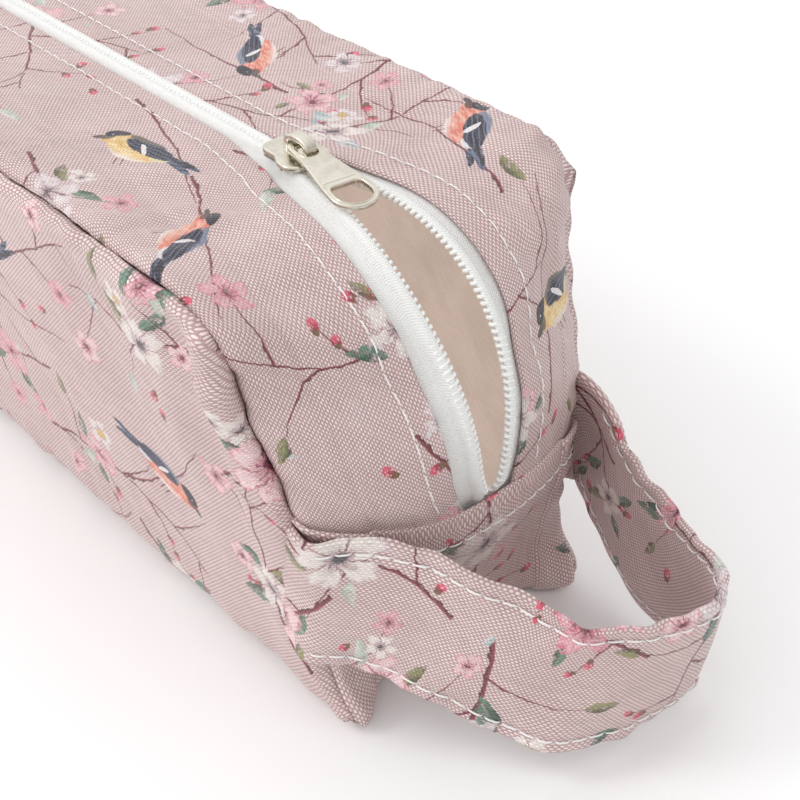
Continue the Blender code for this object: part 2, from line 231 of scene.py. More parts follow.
def strip_half(side, base):
    """Grid of one half of the edge strip: stations from the strap end round to the far end."""
    rows, marks = [], []
    top_corner = SEAM.total - (HALF_TOP - TOP_R) - TOP_R * math.pi / 4
    low_corner = HALF_BASE - FOOT_R + FOOT_R * math.pi / 4
    for end in (1, -1):
        junction = SEAM.climb({(1, -1): 0.0505, (1, 1): 0.0370}.get((end, side), 0.046))
        mid_junction = MIDDLE.climb(0.042 if end > 0 else 0.041)
        if base:
            stops, counts = (junction, low_corner, 0), (NE, NS // 2)
            knots = [0, low_corner, junction]
            values = [0, HALF_BASE - MIDDLE_R + MIDDLE_R * math.pi / 4, mid_junction]
        else:
            stops, counts = (junction, top_corner, SEAM.total), (NJ, NS // 2)
            flat = 0.072
            arc = MIDDLE.total - (0.077 + ZIP_R * math.pi / 4)
            knots = [junction, top_corner, SEAM.total - flat, SEAM.total]
            values = [mid_junction, arc, MIDDLE.total - flat, MIDDLE.total]
        d = np.concatenate([np.linspace(*stops[:2], counts[0] + 1),
                            np.linspace(*stops[1:], counts[1] + 1)[1:]])
        m = np.interp(d, knots, values)
        seam, mid = SEAM.at(d), MIDDLE.at(m)
        s = end * (MIDDLE.total - m)
        hw = HALF_BASE_WIDTH + (HALF_TOP_WIDTH - HALF_BASE_WIDTH) \
            * (np.maximum(seam[:, 1], 0) / HEIGHT) ** 2
        if base:
            lip = half_gap(S_END) + 0.0033 + 0.0029 * smooth(-0.08, 0.08, end * mid[:, 0])
        else:
            # tape left bare beside the zip, wider where the mouth opens
            lip = half_gap(s) + 0.0033 + 0.0029 * smooth(0.042, 0.066, s)
        y = lip[:, None] + (hw - lip)[:, None] * np.linspace(0, 1, K + 1)[None]
        if base:
            y = np.concatenate([lip[:, None] * np.array([0.0, 0.5])[None], y], 1)
        share = (y / hw[:, None]) ** 2.4
        spot = mid[:, None] + (seam - mid)[:, None] * share[..., None]
        p = np.stack([end * spot[..., 0], side * y, spot[..., 1]], -1)
        if end < 0:
            p, s = p[::-1][1:], s[::-1][1:]
        rows.append(p)
        marks.append(s)
    return np.concatenate(rows), np.concatenate(marks)


def edge_rows(word, grids, scale=1):
    """Rows of the edge strips along the side panel's left, right, bottom and top edges."""
    nj, ns, ne = NJ * scale, NS * scale, NE * scale
    strip = grids["base"][:, 0 if word == "front" else -1]
    zipped = grids[f"zip_{word}"][:, -1]
    return (np.concatenate([strip[-ne - 1:], zipped[-nj - 1:][::-1][1:]]),
            np.concatenate([strip[:ne + 1][::-1], zipped[1:nj + 1]]),
            strip[ne:ne + ns + 1][::-1], zipped[nj:nj + ns + 1][::-1])


def designed_shell():
    """Grids of the five outer panels, the zip stations, and how far the corners are pulled out."""
    grids, marks, ears = {}, {}, {}
    for word, side in SIDES:
        grids[f"zip_{word}"], marks[word] = strip_half(side, False)
    front, back = strip_half(-1, True)[0], strip_half(1, True)[0]
    grids["base"] = np.concatenate([front[:, ::-1], back[:, 1:]], 1)
    s = np.linspace(0, 1, NS + 1)[:, None, None]
    t = np.linspace(0, 1, NJ + NE + 1)[None, :, None]
    for word, side in SIDES:
        left, right, bottom, top = edge_rows(word, grids)
        p = ((1 - t) * bottom[:, None] + t * top[:, None] + (1 - s) * left[None]
             + s * right[None] - (1 - s) * (1 - t) * left[0] - s * (1 - t) * right[0]
             - (1 - s) * t * left[-1] - s * t * right[-1])
        fill = (1 - (2 * s - 1) ** 4) * np.sin(np.pi * t) ** 0.7
        p[..., 1] += side * 0.0042 * fill[..., 0]
        grids[f"side_{word}"] = p
    for name, p in grids.items():
        side, end = np.sign(p[..., 1]), np.sign(p[..., 0])
        off = np.stack([np.abs(p[..., 0]) - HALF_BASE, np.abs(p[..., 1]) - HALF_BASE_WIDTH,
                        p[..., 2] - FLOOR], -1)
        edge = bell(np.hypot(off[..., 1], off[..., 2]), 0.0070)
        ear = bell(np.linalg.norm(off, axis=-1), 0.0095)
        ears[name] = fine(np.stack([end, 0.5 * side, -0.4 * side * side], -1) * ear[..., None])
        p[..., 0] += end * 0.0088 * ear
        p[..., 1] -= side * (0.0022 * edge - 0.0012 * ear)
        p[..., 2] += 0.0022 * edge - 0.0012 * ear
    return grids, marks, ears


def weld(grids):
    """One mesh from all the grids, sharing the vertices on the seams."""
    keys, points, maps, faces = {}, [], {}, []
    for name, p in grids.items():
        index = np.zeros(p.shape[:2], int)
        for i, j in np.ndindex(index.shape):
            key = tuple(np.round(p[i, j], 7))
            if key not in keys:
                keys[key] = len(points)
                points.append(p[i, j])
            index[i, j] = keys[key]
        maps[name] = index
        quads = np.stack([index[:-1, :-1], index[1:, :-1], index[1:, 1:], index[:-1, 1:]], -1)
        quads = quads.reshape(-1, 4)
        faces += (quads[:, ::-1] if name in ("zip_front", "side_back") else quads).tolist()
    return np.array(points), maps, faces


def assign(thing, **values):
    for key, value in values.items():
        setattr(thing, key, value)


def puff(grids):
    """Cloth simulation of the sewn shell: a little pressure and slack cloth between tight seams."""
    points, maps, faces = weld(grids)
    scale, frames, cap = 10.0, 26, 0.0065  # simulated ten times as large, where cloth behaves
    mesh = bpy.data.meshes.new("shell_cloth")
    mesh.from_pydata((points * scale).tolist(), [], faces)
    item = bpy.data.objects.new("shell_cloth", mesh)
    bpy.context.scene.collection.objects.link(item)
    hold, slack = np.full(len(points), 0.20), np.ones(len(points))
    for name in ("zip_front", "zip_back"):
        index = maps[name]
        hold[index[:, -1]] = 0.58
        slack[index[:, -1]] = 0.0
        slack[index[:, -2]] = 0.6
        hold[index[:, :2]] = 1.0
        slack[index[:, :3]] = 0.0
        hold[index[:, 2]] = 0.6
    index = maps["base"]
    hold[index[:, [0, -1]]] = 0.58
    slack[index[:, [0, -1]]] = 0.0
    hold[index[[0, -1]]] = np.maximum(hold[index[[0, -1]]], 0.55)
    hold[index[NE + 1:-NE - 1, 2:-2]] = 0.9
    slack[index[NE + 1:-NE - 1]] = 0.0
    for name, weights in (("hold", hold), ("slack", slack)):
        layer = item.vertex_groups.new(name=name)
        for i, weight in enumerate(weights):
            layer.add([i], float(weight), "REPLACE")
    cloth = item.modifiers.new("cloth", "CLOTH")
    assign(cloth.settings, quality=7, mass=0.25, air_damping=2.0, tension_stiffness=30.0,
           compression_stiffness=30.0, shear_stiffness=8.0, bending_stiffness=1.2,
           vertex_group_mass="hold", pin_stiffness=18.0, vertex_group_shrink="slack",
           shrink_min=0.0, shrink_max=-0.045, use_pressure=True, uniform_pressure_force=3.0)
    cloth.settings.effector_weights.gravity = 0.15
    cloth.collision_settings.use_collision = False
    assign(cloth.point_cache, frame_start=1, frame_end=frames)
    for f in range(1, frames + 1):
        bpy.context.scene.frame_set(f)
    moved = np.zeros(len(points) * 3, np.float32)
    done = item.evaluated_get(bpy.context.evaluated_depsgraph_get())
    done.data.vertices.foreach_get("co", moved)
    bpy.context.scene.frame_set(1)
    bpy.data.objects.remove(item, do_unlink=True)
    shift = moved.reshape(-1, 3) / scale - points
    size = np.linalg.norm(shift, axis=1, keepdims=True)
    final = points + shift * np.where(size > cap, cap / np.maximum(size, 1e-9), 1.0)
    final[:, 2] = np.maximum(final[:, 2], FLOOR)
    return {name: final[index] for name, index in maps.items()}


GRIDS, MARKS, EARS = designed_shell()
FLAT = {name: fine(p) for name, p in GRIDS.items()}
SHELL = {name: fine(p) for name, p in puff(GRIDS).items()}
SHELL = {name: p.copy() for name, p in SHELL.items()}
STATION = {word: refine(MARKS[word], FINE, 0) for word in MARKS}
NORMAL = {}


# ------------------------------------------------------------------ seams, folds and wrinkles

def update_normals():
    for name, p in SHELL.items():
        n = unit(np.cross(np.gradient(p, axis=0), np.gradient(p, axis=1)))
        NORMAL[name] = n if np.sum(n * (p - CENTRE)) > 0 else -n


def tie_seams():
    for word, _side in SIDES:
        p = SHELL[f"side_{word}"]
        p[0], p[-1], p[:, 0], p[:, -1] = edge_rows(word, SHELL, FINE)


def crease(d):
    """Height of the cloth at a distance from a seam: a tight groove, then a soft ridge."""
    return -0.0022 * bell(d, 0.0013) + 0.0011 * ridge(d)


def press_seams():
    """Sink the turned seams and pucker the cloth beside them."""
    for word, side in SIDES:
        for name, edge in ((f"zip_{word}", -1), ("base", 0 if side < 0 else -1)):
            p, n = SHELL[name], NORMAL[name]
            run = lengths(p[:, edge])
            wave = waves(run, 11 + side, 0.013) + 0.5 * waves(run, 17 + side, 0.006)
            across = lengths(np.mean(p, axis=0))
            from_edge = across[-1] - across if edge == -1 else across
            for k in range(14):
                j = -1 - k if edge == -1 else k
                rise = crease(from_edge[j]) + 0.00050 * wave * math.exp(-from_edge[j] / 0.0060)
                out = unit(n[:, j] + [0, side, 0]) if k == 0 else n[:, j]
                p[:, j] += out * rise[:, None]
        tie_seams()
        p, n = SHELL[f"side_{word}"], NORMAL[f"side_{word}"]
        ni, nj = p.shape[:2]
        i, j = np.meshgrid(np.arange(ni), np.arange(nj), indexing="ij")
        to_end, to_side = np.minimum(i, ni - 1 - i), np.minimum(j, nj - 1 - j)
        d = np.minimum(to_end, to_side) * 0.00105
        run = np.where(to_end < to_side, p[..., 2], p[..., 0])
        high = smooth(0.030, 0.070, p[..., 2]) * smooth(0.02, 0.08, np.abs(p[..., 0]))
        rise = crease(d) + 0.00050 * waves(run, 23 + side, 0.012) * np.exp(-d / 0.007) \
            + 0.0010 * ridge(d) * high
        lean = np.sign(p[..., 0]) * (to_end < to_side) * 0.0016 * ridge(d) * high
        p += n * (rise * (d > 0))[..., None]
        p[..., 0] += lean


# Soft folds: start, end, half width and height (negative for a hollow), all in mm
FOLDS = [
    ((101, -40, 80), (113, -12, 74), 5.0, -2.8), ((99, -39, 89), (108, -12, 86), 4.0, 1.7),
    ((97, 41, 82), (111, 14, 68), 6.0, -1.6), ((104, -36, 54), (114, -14, 49), 4.0, 0.9),
    ((92, -43, 82), (96, -42, 46), 4.0, 2.4), ((84, -45, 84), (88, -44, 40), 5.5, -2.2),
    ((96, -42, 46), (98, -38, 14), 4.5, 1.8), ((74, -45, 86), (79, -44, 50), 5.0, 1.2),
    ((70, -45, 78), (90, -41, 22), 6.0, 1.2), ((50, -44, 84), (66, -42, 30), 7.0, -1.1),
    ((20, -44, 70), (44, -42, 26), 8.0, 1.0), ((-10, -44, 80), (12, -42, 22), 8.0, -1.1),
    ((-60, -44, 76), (-34, -43, 30), 8.0, 1.1), ((-90, -43, 84), (-78, -42, 30), 6.0, -1.2),
    ((88, 44, 84), (80, 43, 30), 6.0, -1.3), ((60, 44, 76), (42, 43, 24), 8.0, 1.2),
    ((20, 44, 82), (8, 43, 30), 7.0, -1.1), ((-30, 44, 74), (-50, 43, 26), 8.0, 1.1),
    ((-80, 44, 82), (-92, 43, 36), 6.0, -1.2), ((40, -38, 92), (60, -22, 92), 6.0, -0.8),
    ((70, 36, 92), (50, 18, 92), 6.0, -0.8), ((-20, -36, 92), (10, -20, 92), 7.0, 0.7),
    ((-60, 34, 92), (-30, 20, 92), 7.0, -0.8), ((-112, -30, 74), (-100, -40, 84), 6.0, -1.4),
    ((-112, 30, 70), (-100, 40, 82), 6.0, -1.4), ((113, -20, 30), (106, -28, 10), 5.0, -1.2),
    ((113, 12, 34), (110, 24, 12), 5.0, -1.1), ((-113, -10, 32), (-110, -24, 12), 5.0, -1.2),
]


def soft_folds():
    for name, p in SHELL.items():
        rise = np.zeros(p.shape[:2])
        for start, end, width, height in FOLDS:
            a, run = np.array(start) * MM, (np.array(end) - start) * MM
            t = ((p - a) @ run) / (run @ run)
            bow = a + np.clip(t, -0.3, 1.3)[..., None] * run
            d = np.linalg.norm(p - bow, axis=-1)
            rise += height * MM * bell(d, width * MM) * smooth(-0.3, 0.15, t) * smooth(1.3, 0.85, t)
        p += NORMAL[name] * rise[..., None]
    tie_seams()


def low_wrinkles():
    """Soft hand-sized unevenness so that no panel is perfectly taut."""
    for name, p in SHELL.items():
        f = FLAT[name]
        u = f[..., 0] * 1.3 + f[..., 2] * 0.4
        v = f[..., 2] + f[..., 1] * 0.9
        field = waves(u, 31, 0.055, 4) * waves(v, 37, 0.045, 4) \
            + 0.35 * waves(u + v, 41, 0.020) * waves(u - v, 43, 0.024)
        i, j = np.ogrid[:p.shape[0], :p.shape[1]]
        edge = np.minimum(np.minimum(i, p.shape[0] - 1 - i), np.minimum(j, p.shape[1] - 1 - j))
        keep = smooth(0, 9, edge)
        if name == "base":
            keep = keep * (f[..., 2] > 0.003)
        p += NORMAL[name] * (0.00045 * field * keep)[..., None]


tie_seams()
for change in (press_seams, soft_folds, low_wrinkles):
    update_normals()
    change()
update_normals()




# ------------------------------------------------------------------ print layout

SLOTS = ("twig_a", "twig_b", "leaf_a", "leaf_b", "bloom_a", "bloom_b", "bird")
NOWHERE = 9.0  # motif coordinates of a face that no motif reaches
BIRD_SIZE = 14.5
# Birds of each panel: place in mm, turn in degrees, kind
BIRDS = {
    "side": [(66, 38, -38, 0), (16, 66, 200, 1), (-38, 30, -25, 0), (-80, 70, 20, 1)],
    "zip_front": [(72, 22, 215, 0), (38, 15, 150, 1), (-10, 24, 20, 0), (-84, 20, 200, 1)],
    "zip_back": [(-74, 24, 30, 0), (-116, 18, 240, 1), (-20, 20, 200, 0), (60, 24, -20, 1)],
    "base": [(-60, 12, 30, 0), (50, -12, 190, 1)],
    "strap": [(150, 30, 96, 0)],
}


class Print:
    """Scattered sprigs over a flat cloth area; every motif has a place, turn, size, kind, seed."""

    def __init__(self, u0, u1, v0, v1, seed, birds, pitch=45.0):
        self.rng = random.Random(seed)
        self.motifs = {s: [] for s in SLOTS if not s.startswith("twig")}
        self.lines = {"twig_a": [], "twig_b": []}
        for u, v, turn, kind in birds:
            self.motifs["bird"].append((u, v, math.radians(turn), BIRD_SIZE, kind,
                                        self.rng.random()))
            heading = self.rng.uniform(-0.3, 0.3)
            self.stroke("twig_a", u - 18, v - 7.5 - 18 * math.sin(heading), heading, 44, 0.42, 0.25)
        nu = max(1, round((u1 - u0) / pitch))
        nv = max(1, round((v1 - v0) / (pitch * 0.78)))
        for a in range(nu + 1):
            for b in range(nv + 1):
                u = lerp(u0, u1, (a + 0.5 * (b % 2) + self.rng.uniform(-0.16, 0.16)) / nu)
                self.sprig(u, lerp(v0, v1, (b + self.rng.uniform(-0.16, 0.16)) / nv))
        self.fill(u0, u1, v0, v1)

    def spare(self, u, v, slots, none):
        """Distance to the nearest motif's edge."""
        return min([math.hypot(u - m[0], v - m[1]) - m[3] for s in slots for m in self.motifs[s]]
                   or [none])

    def add(self, group, u, v, turn, size, kind):
        best = max((group + "_a", group + "_b"), key=lambda s: self.spare(u, v, [s], 1e9))
        self.motifs[best].append((u, v, turn, size, kind, self.rng.random()))

    def stroke(self, slot, u, v, heading, length, width, bend):
        steps = max(3, int(length / 4.0))
        pts = [(u, v)]
        for _ in range(steps):
            heading += bend / steps + self.rng.uniform(-0.16, 0.16)
            u += math.cos(heading) * length / steps
            v += math.sin(heading) * length / steps
            pts.append((u, v))
        self.lines[slot].append((pts, width))
        return pts, heading

    def cluster(self, u, v, scale=1.0):
        r = self.rng
        if self.spare(u, v, ["bird"], 99) < 3.5:
            return
        big = r.uniform(5.8, 8.0) * scale
        self.add("bloom", u, v, r.uniform(0, 6.3), big, 0 if r.random() < 0.5 else 1)
        turn = r.uniform(0, 6.3)
        for k in range(r.choice((0, 1, 2))):
            ang = turn + 2.1 * k
            size = r.uniform(2.8, 4.2) * scale
            away = (big + size) * 0.88
            self.add("bloom", u + math.cos(ang) * away, v + math.sin(ang) * away,
                     r.uniform(0, 6.3), size, r.choice((0, 0, 1, 2)))
        for k in range(r.choice((2, 3, 4))):
            ang = turn + 1.0 + 1.6 * k
            size = r.uniform(2.8, 4.6) * scale
            away = big + size * 0.35
            self.add("leaf", u + math.cos(ang) * away, v + math.sin(ang) * away,
                     ang + r.uniform(-0.7, 0.7), size, r.choice((0, 1, 1, 3)))

    def sprig(self, u, v):
        r = self.rng
        heading = r.uniform(-0.5, 0.5) + r.choice((0.35, 2.6, -0.6, 3.6))
        length = r.uniform(42, 66)
        pts, _ = self.stroke("twig_a", u - math.cos(heading) * length * 0.5,
                             v - math.sin(heading) * length * 0.5, heading, length,
                             r.uniform(0.42, 0.58), r.uniform(-1.1, 1.1))
        side = r.choice((-1, 1))
        for k in range(2, len(pts) - 1, 2):
            (pu, pv), (qu, qv) = pts[k], pts[k + 1]
            ahead = math.atan2(qv - pv, qu - pu)
            side = -side
            tip, turned = self.stroke("twig_b", pu, pv, ahead + side * r.uniform(0.5, 1.1),
                                      r.uniform(8, 19), r.uniform(0.24, 0.34), 0.5 * side)
            tu, tv = tip[-1]
            if self.spare(tu, tv, ["bird"], 99) < 0.5:
                continue
            roll = r.random()
            if roll < 0.22:
                self.add("bloom", tu, tv, r.uniform(0, 6.3), r.uniform(2.8, 4.4),
                         r.choice((0, 0, 1)))
            elif roll < 0.72:
                for mu, mv in (tip[-1], tip[len(tip) // 2]):
                    self.add("leaf", mu + r.uniform(-1, 1), mv + r.uniform(-1, 1),
                             turned + r.uniform(-0.6, 0.9), r.uniform(1.1, 1.8), 2)
            else:
                self.add("leaf", tu + math.cos(turned) * 3, tv + math.sin(turned) * 3,
                         turned, r.uniform(2.6, 4.0), r.choice((0, 1, 3)))
        if r.random() < 0.88:
            self.cluster(*pts[int(len(pts) * 0.4)])
        if r.random() < 0.40:
            self.cluster(*pts[-2], 0.70)

    def fill(self, u0, u1, v0, v1):
        """Loose buds in the gaps."""
        r = self.rng
        for _ in range(int((u1 - u0) * (v1 - v0) / 700.0)):
            u, v = r.uniform(u0, u1), r.uniform(v0, v1)
            if self.spare(u, v, ("bloom_a", "bloom_b", "bird"), 9) > 3.5:
                self.add("leaf", u, v, r.uniform(0, 6.3), r.uniform(1.1, 1.8), r.choice((2, 2, 3)))

    def slot_values(self, uv):
        """Motif coordinates for every corner: uv is faces x 4 x 2 in mm."""
        centre = uv.mean(axis=1)
        out = {}
        for slot, found in self.motifs.items():
            values = out[slot] = np.full(uv.shape[:2] + (3,), NOWHERE)
            if not found:
                continue
            m = np.array(found)
            gap = np.hypot(*(centre[:, None] - m[None, :, :2]).transpose(2, 0, 1)) / m[:, 3]
            u, v, turn, size, kind, seed = m[gap.argmin(1)].T[..., None]
            du, dv, co, si = uv[..., 0] - u, uv[..., 1] - v, np.cos(turn), np.sin(turn)
            z = np.broadcast_to(kind + 0.05 + 0.9 * seed, du.shape)
            near = gap.min(1) < 1.9
            values[near] = np.stack([(du * co + dv * si) / size, (dv * co - du * si) / size, z],
                                    -1)[near]
        for slot, strokes in self.lines.items():
            values = out[slot] = np.full(uv.shape[:2] + (3,), NOWHERE)
            values[..., 2] = -1.0
            segs = []
            for pts, width in strokes:
                run = lengths(np.array(pts))
                segs += [(*a, *b, d, run[-1], width) for a, b, d in zip(pts, pts[1:], run)]
            best, pick = np.full(len(centre), 1e9), np.zeros(len(centre), int)
            for k, (ax, ay, bx, by, *_rest) in enumerate(segs):
                ex, ey = bx - ax, by - ay
                t = np.clip(((centre[:, 0] - ax) * ex + (centre[:, 1] - ay) * ey)
                            / (ex * ex + ey * ey), 0, 1)
                dist = np.hypot(centre[:, 0] - ax - ex * t, centre[:, 1] - ay - ey * t)
                better = dist < best
                best[better], pick[better] = dist[better], k
            ax, ay, bx, by, run, full, width = np.array(segs)[pick].T[..., None]
            size = np.hypot(bx - ax, by - ay)
            ex, ey = (bx - ax) / size, (by - ay) / size
            du, dv = uv[..., 0] - ax, uv[..., 1] - ay
            along, off = du * ex + dv * ey + run, dv * ex - du * ey
            left = 1.0 - along / full
            wide = width * (0.35 + 0.65 * np.clip(left, 0, 1))
            wide = np.where((left < 0) | (along < -0.4), -1.0, wide)
            near = best < 3.0
            values[near] = np.stack([along, off, wide], -1)[near]
        return out


# ------------------------------------------------------------------ node building

def sum_of(op, turned=False):
    """A Wire method that puts in one math node."""
    def method(self, other=0.0):
        return self.nodes.math(op, *((other, self) if turned else (self, other)))
    return method


class Wire:
    """A node's output, which can be used in sums like a number."""

    def __init__(self, nodes, socket):
        self.nodes, self.socket = nodes, socket

    __add__, __sub__, __rsub__ = sum_of("ADD"), sum_of("SUBTRACT"), sum_of("SUBTRACT", True)
    __mul__, __truediv__, __pow__ = sum_of("MULTIPLY"), sum_of("DIVIDE"), sum_of("POWER")
    __abs__, fract, floor = sum_of("ABSOLUTE"), sum_of("FRACT"), sum_of("FLOOR")
    sine, root, max = sum_of("SINE"), sum_of("SQRT"), sum_of("MAXIMUM")


class Nodes:
    """Short-hand for building a node tree."""

    def __init__(self, tree):
        self.tree = tree

    def feed(self, socket, value):
        if isinstance(value, Wire):
            self.tree.links.new(value.socket, socket)
        elif isinstance(value, tuple) and len(value) == 3 and socket.type == "RGBA":
            socket.default_value = (*value, 1.0)
        else:
            socket.default_value = value

    def put(self, kind, feed=(), **settings):
        """A new node with its settings, and what feeds its inputs by order or by name."""
        node = self.tree.nodes.new(kind)
        assign(node, **settings)
        for key, value in feed.items() if isinstance(feed, dict) else enumerate(feed):
            self.feed(node.inputs[key], value)
        return node

    def wire(self, kind, feed=(), pick=0, **settings):
        return Wire(self, self.put(kind, feed, **settings).outputs[pick])

    def math(self, op, a, b=0.0, clamp=False):
        return self.wire("ShaderNodeMath", (a, b), operation=op, use_clamp=clamp)

    def vector(self, op, a, b):
        return self.wire("ShaderNodeVectorMath", (a, b), operation=op)

    def scaled(self, vector, factor):
        return self.wire("ShaderNodeVectorMath", {0: vector, "Scale": factor}, operation="SCALE")

    def ramp(self, value, low, high, to_low=0.0, to_high=1.0, kind="SMOOTHSTEP"):
        return self.wire("ShaderNodeMapRange", (value, low, high, to_low, to_high),
                         interpolation_type=kind)

    def above(self, value, level):
        """1 where a whole-numbered value is over a level that lies between two of them."""
        return self.ramp(value, level, level + 0.1, kind="LINEAR")

    def mix(self, factor, a, b, blend="MIX"):
        return self.wire("ShaderNodeMix", {0: factor, 6: a, 7: b}, 2, data_type="RGBA",
                         blend_type=blend)

    def tinted(self, factor, colour, tint):
        """The colour, multiplied by a tint as far as the factor says."""
        return self.mix(factor, colour, self.mix(1.0, colour, tint, "MULTIPLY"))

    def coats(self, colour, *coats):
        """Coats of (cover, colour) laid over one another."""
        for cover, coat in coats:
            colour = self.mix(cover, colour, coat)
        return colour

    def split(self, vector):
        return [Wire(self, s) for s in self.put("ShaderNodeSeparateXYZ", (vector,)).outputs]

    def join(self, x, y, z=0.0):
        return self.wire("ShaderNodeCombineXYZ", (x, y, z))

    def noise(self, vector, scale, detail=2.0, rough=0.5):
        return self.wire("ShaderNodeTexNoise", {"Vector": vector, "Scale": scale, "Detail": detail,
                                                "Roughness": rough}, "Fac")

    def random(self, vector):
        return self.wire("ShaderNodeTexWhiteNoise", {"Vector": vector}, "Value",
                         noise_dimensions="3D")

    def motif(self, place, scale, amount):
        """A motif's x and y, unevenly drawn, and its kind and seed."""
        x, y, z = self.split(place)
        kind = z.floor()
        seed = z - kind
        push = [self.noise(self.join(x, y, seed * 40.0 + shift), scale, 3.0, 0.6) - 0.5
                for shift in (3.0, 17.0)]
        return x + push[0] * amount, y + push[1] * amount, kind, seed

    def ellipse(self, vector, cx, cy, rx, ry, turn=0.0, soft=0.06):
        """Mask of an ellipse in motif coordinates, and the coordinates inside it."""
        local = self.wire("ShaderNodeMapping", {
            "Vector": vector, "Location": (cx, cy, 0), "Rotation": (0, 0, math.radians(turn)),
            "Scale": (rx, ry, 1e6)}, vector_type="TEXTURE")
        size = self.wire("ShaderNodeVectorMath", (local,), "Value", operation="LENGTH")
        return self.ramp(size, 1 + soft, 1 - soft), local

    def cloth_uv(self):
        return self.scaled(self.wire("ShaderNodeUVMap", uv_map="cloth"), 1000.0)

    def bump(self, height, strength, distance, **under):
        return self.wire("ShaderNodeBump", {"Strength": strength, "Distance": distance,
                                            "Height": height, **under})

    def use(self, tree, *values):
        return [Wire(self, s) for s in self.put("ShaderNodeGroup", values, node_tree=tree).outputs]


def group(name, inputs, outputs, build):
    """Shader group from a builder; sockets are named in words, a capitalised kind of socket each."""
    g = bpy.data.node_groups.new(name, "ShaderNodeTree")
    for way, sockets in (("INPUT", inputs), ("OUTPUT", outputs)):
        for label, kind in sockets.items():
            g.interface.new_socket(label, in_out=way, socket_type="NodeSocket" + kind)
    n = Nodes(g)
    inp, out = n.put("NodeGroupInput"), n.put("NodeGroupOutput")
    results = build(n, *[Wire(n, s) for s in inp.outputs][:len(inputs)])
    for socket, value in zip(out.inputs, results):
        n.feed(socket, value)
    return g


def mouth_group():
    """Geometry nodes that open and close the zip's lips as the slider's body moves."""
    g = bpy.data.node_groups.new("mouth_follows_slider", "GeometryNodeTree")
    for way in ("INPUT", "OUTPUT"):
        g.interface.new_socket("Geometry", in_out=way, socket_type="NodeSocketGeometry")
    n = Nodes(g)
    inp, out = n.put("NodeGroupInput"), n.put("NodeGroupOutput")

    def step(value, low, high):
        t = n.math("DIVIDE", value - low, high - low, clamp=True)
        return t * t * (3.0 - t * 2.0)

    def gap(s, xs):
        """half_gap for a slider at xs, without the closed gap."""
        start = xs + SLIDER_NOSE
        run = S_END - start
        t = n.math("DIVIDE", s - start, run, clamp=True)
        spread = (t ** 0.9 * math.pi).sine().max(0.0) ** 1.2
        neck = step(s, xs - 0.0006, start) * (1.0 - step(s, 0.93 * S_END, S_END)) * NECK
        return neck + spread * ((run / 0.085).root() * GAPE)

    station, shift = (n.wire("GeometryNodeInputNamedAttribute", {"Name": name}, "Attribute",
                             data_type=kind)
                      for name, kind in (("zip_s", "FLOAT"), ("mouth_shift", "FLOAT_VECTOR")))
    info = n.wire("GeometryNodeObjectInfo", {"Object": frame["bodies"]["slider"]}, "Location",
                  transform_space="ORIGINAL")
    rest = n.wire("ShaderNodeValue")
    rest.socket.default_value = SLIDER_X
    change = gap(station, n.split(info)[0] + SLIDER_X) - gap(station, rest)
    moved = n.put("GeometryNodeSetPosition", {"Geometry": Wire(n, inp.outputs[0]),
                                              "Offset": n.scaled(shift, change)})
    n.feed(out.inputs[0], Wire(n, moved.outputs[0]))
    return g


MOUTH = mouth_group()




# ------------------------------------------------------------------ print motifs

def build_bloom(n, under, place_):
    x, y, kind, seed = n.motif(place_, 2.4, 0.42)
    wobble = n.noise(n.join(x * 1.3, y * 1.3, seed * 40.0), 1.6)
    r = (x * x + y * y).root() * n.ramp(wobble, 0.25, 0.75, 1.22, 0.80, "LINEAR")
    turn = n.math("ARCTAN2", y, x)
    from_middle = abs(((turn + wobble * 0.9) * (5 / (2 * math.pi))).fract() - 0.5) * 2.0
    fray = n.noise(n.join(x * 6.0, y * 6.0, seed), 2.0, 3.0)
    edge = 0.98 - from_middle ** 2.4 * 0.55 - n.ramp(from_middle, 0.16, 0.0, 0.0, 0.10) \
        + n.ramp(fray, 0.3, 0.7, -0.06, 0.05)
    t = r / edge
    white, daisy = n.above(kind, 0.5), n.above(kind, 1.5)
    inner = n.mix(white, (0.42, 0.025, 0.08), (0.30, 0.17, 0.22))
    body = n.mix(n.ramp(seed, 0.35, 0.7), n.mix(white, (0.74, 0.33, 0.40), (0.78, 0.73, 0.73)),
                 n.mix(white, (0.84, 0.60, 0.62), (0.82, 0.78, 0.72)))
    rim = n.mix(white, (0.60, 0.05, 0.13), (0.58, 0.46, 0.52))
    heart = n.mix(daisy, n.mix(white, (0.16, 0.02, 0.05), (0.07, 0.08, 0.09)), (0.70, 0.46, 0.10))
    wash = n.noise(n.join(turn * 3.4, r * 0.9, seed), 4.0, 3.0, 0.7)
    rays = abs((turn * (9 / (2 * math.pi))).fract() - 0.5)
    petal = n.coats(
        body, (n.ramp(t, 0.62, 0.12) * 0.85, inner),
        (n.ramp(wash, 0.42, 0.72, 0.0, 0.80), (0.86, 0.76, 0.76)),
        (n.ramp(wash, 0.46, 0.25, 0.0, 0.55), rim),
        (n.ramp(t, 0.80, 0.96) * n.ramp(fray, 0.35, 0.6) * 0.75, rim),
        (n.ramp(from_middle, 0.78, 0.97) * n.ramp(r, 0.12, 0.3) * 0.8, inner),
        (n.ramp(rays, 0.14, 0.05) * n.ramp(r, 0.40, 0.32) * 0.8, (0.20, 0.03, 0.07)),
        (n.ramp(r, n.ramp(daisy, 0, 1, 0.20, 0.30), n.ramp(daisy, 0, 1, 0.10, 0.22)), heart))
    thin = n.noise(n.join(x, y, seed + 5.0), 3.2, 3.0, 0.75)
    solid = n.ramp(thin + seed * 0.12, 0.32, 0.58, 0.30, 0.97)
    return [n.mix(n.ramp(r, edge + 0.05, edge - 0.07) * solid, under, petal)]


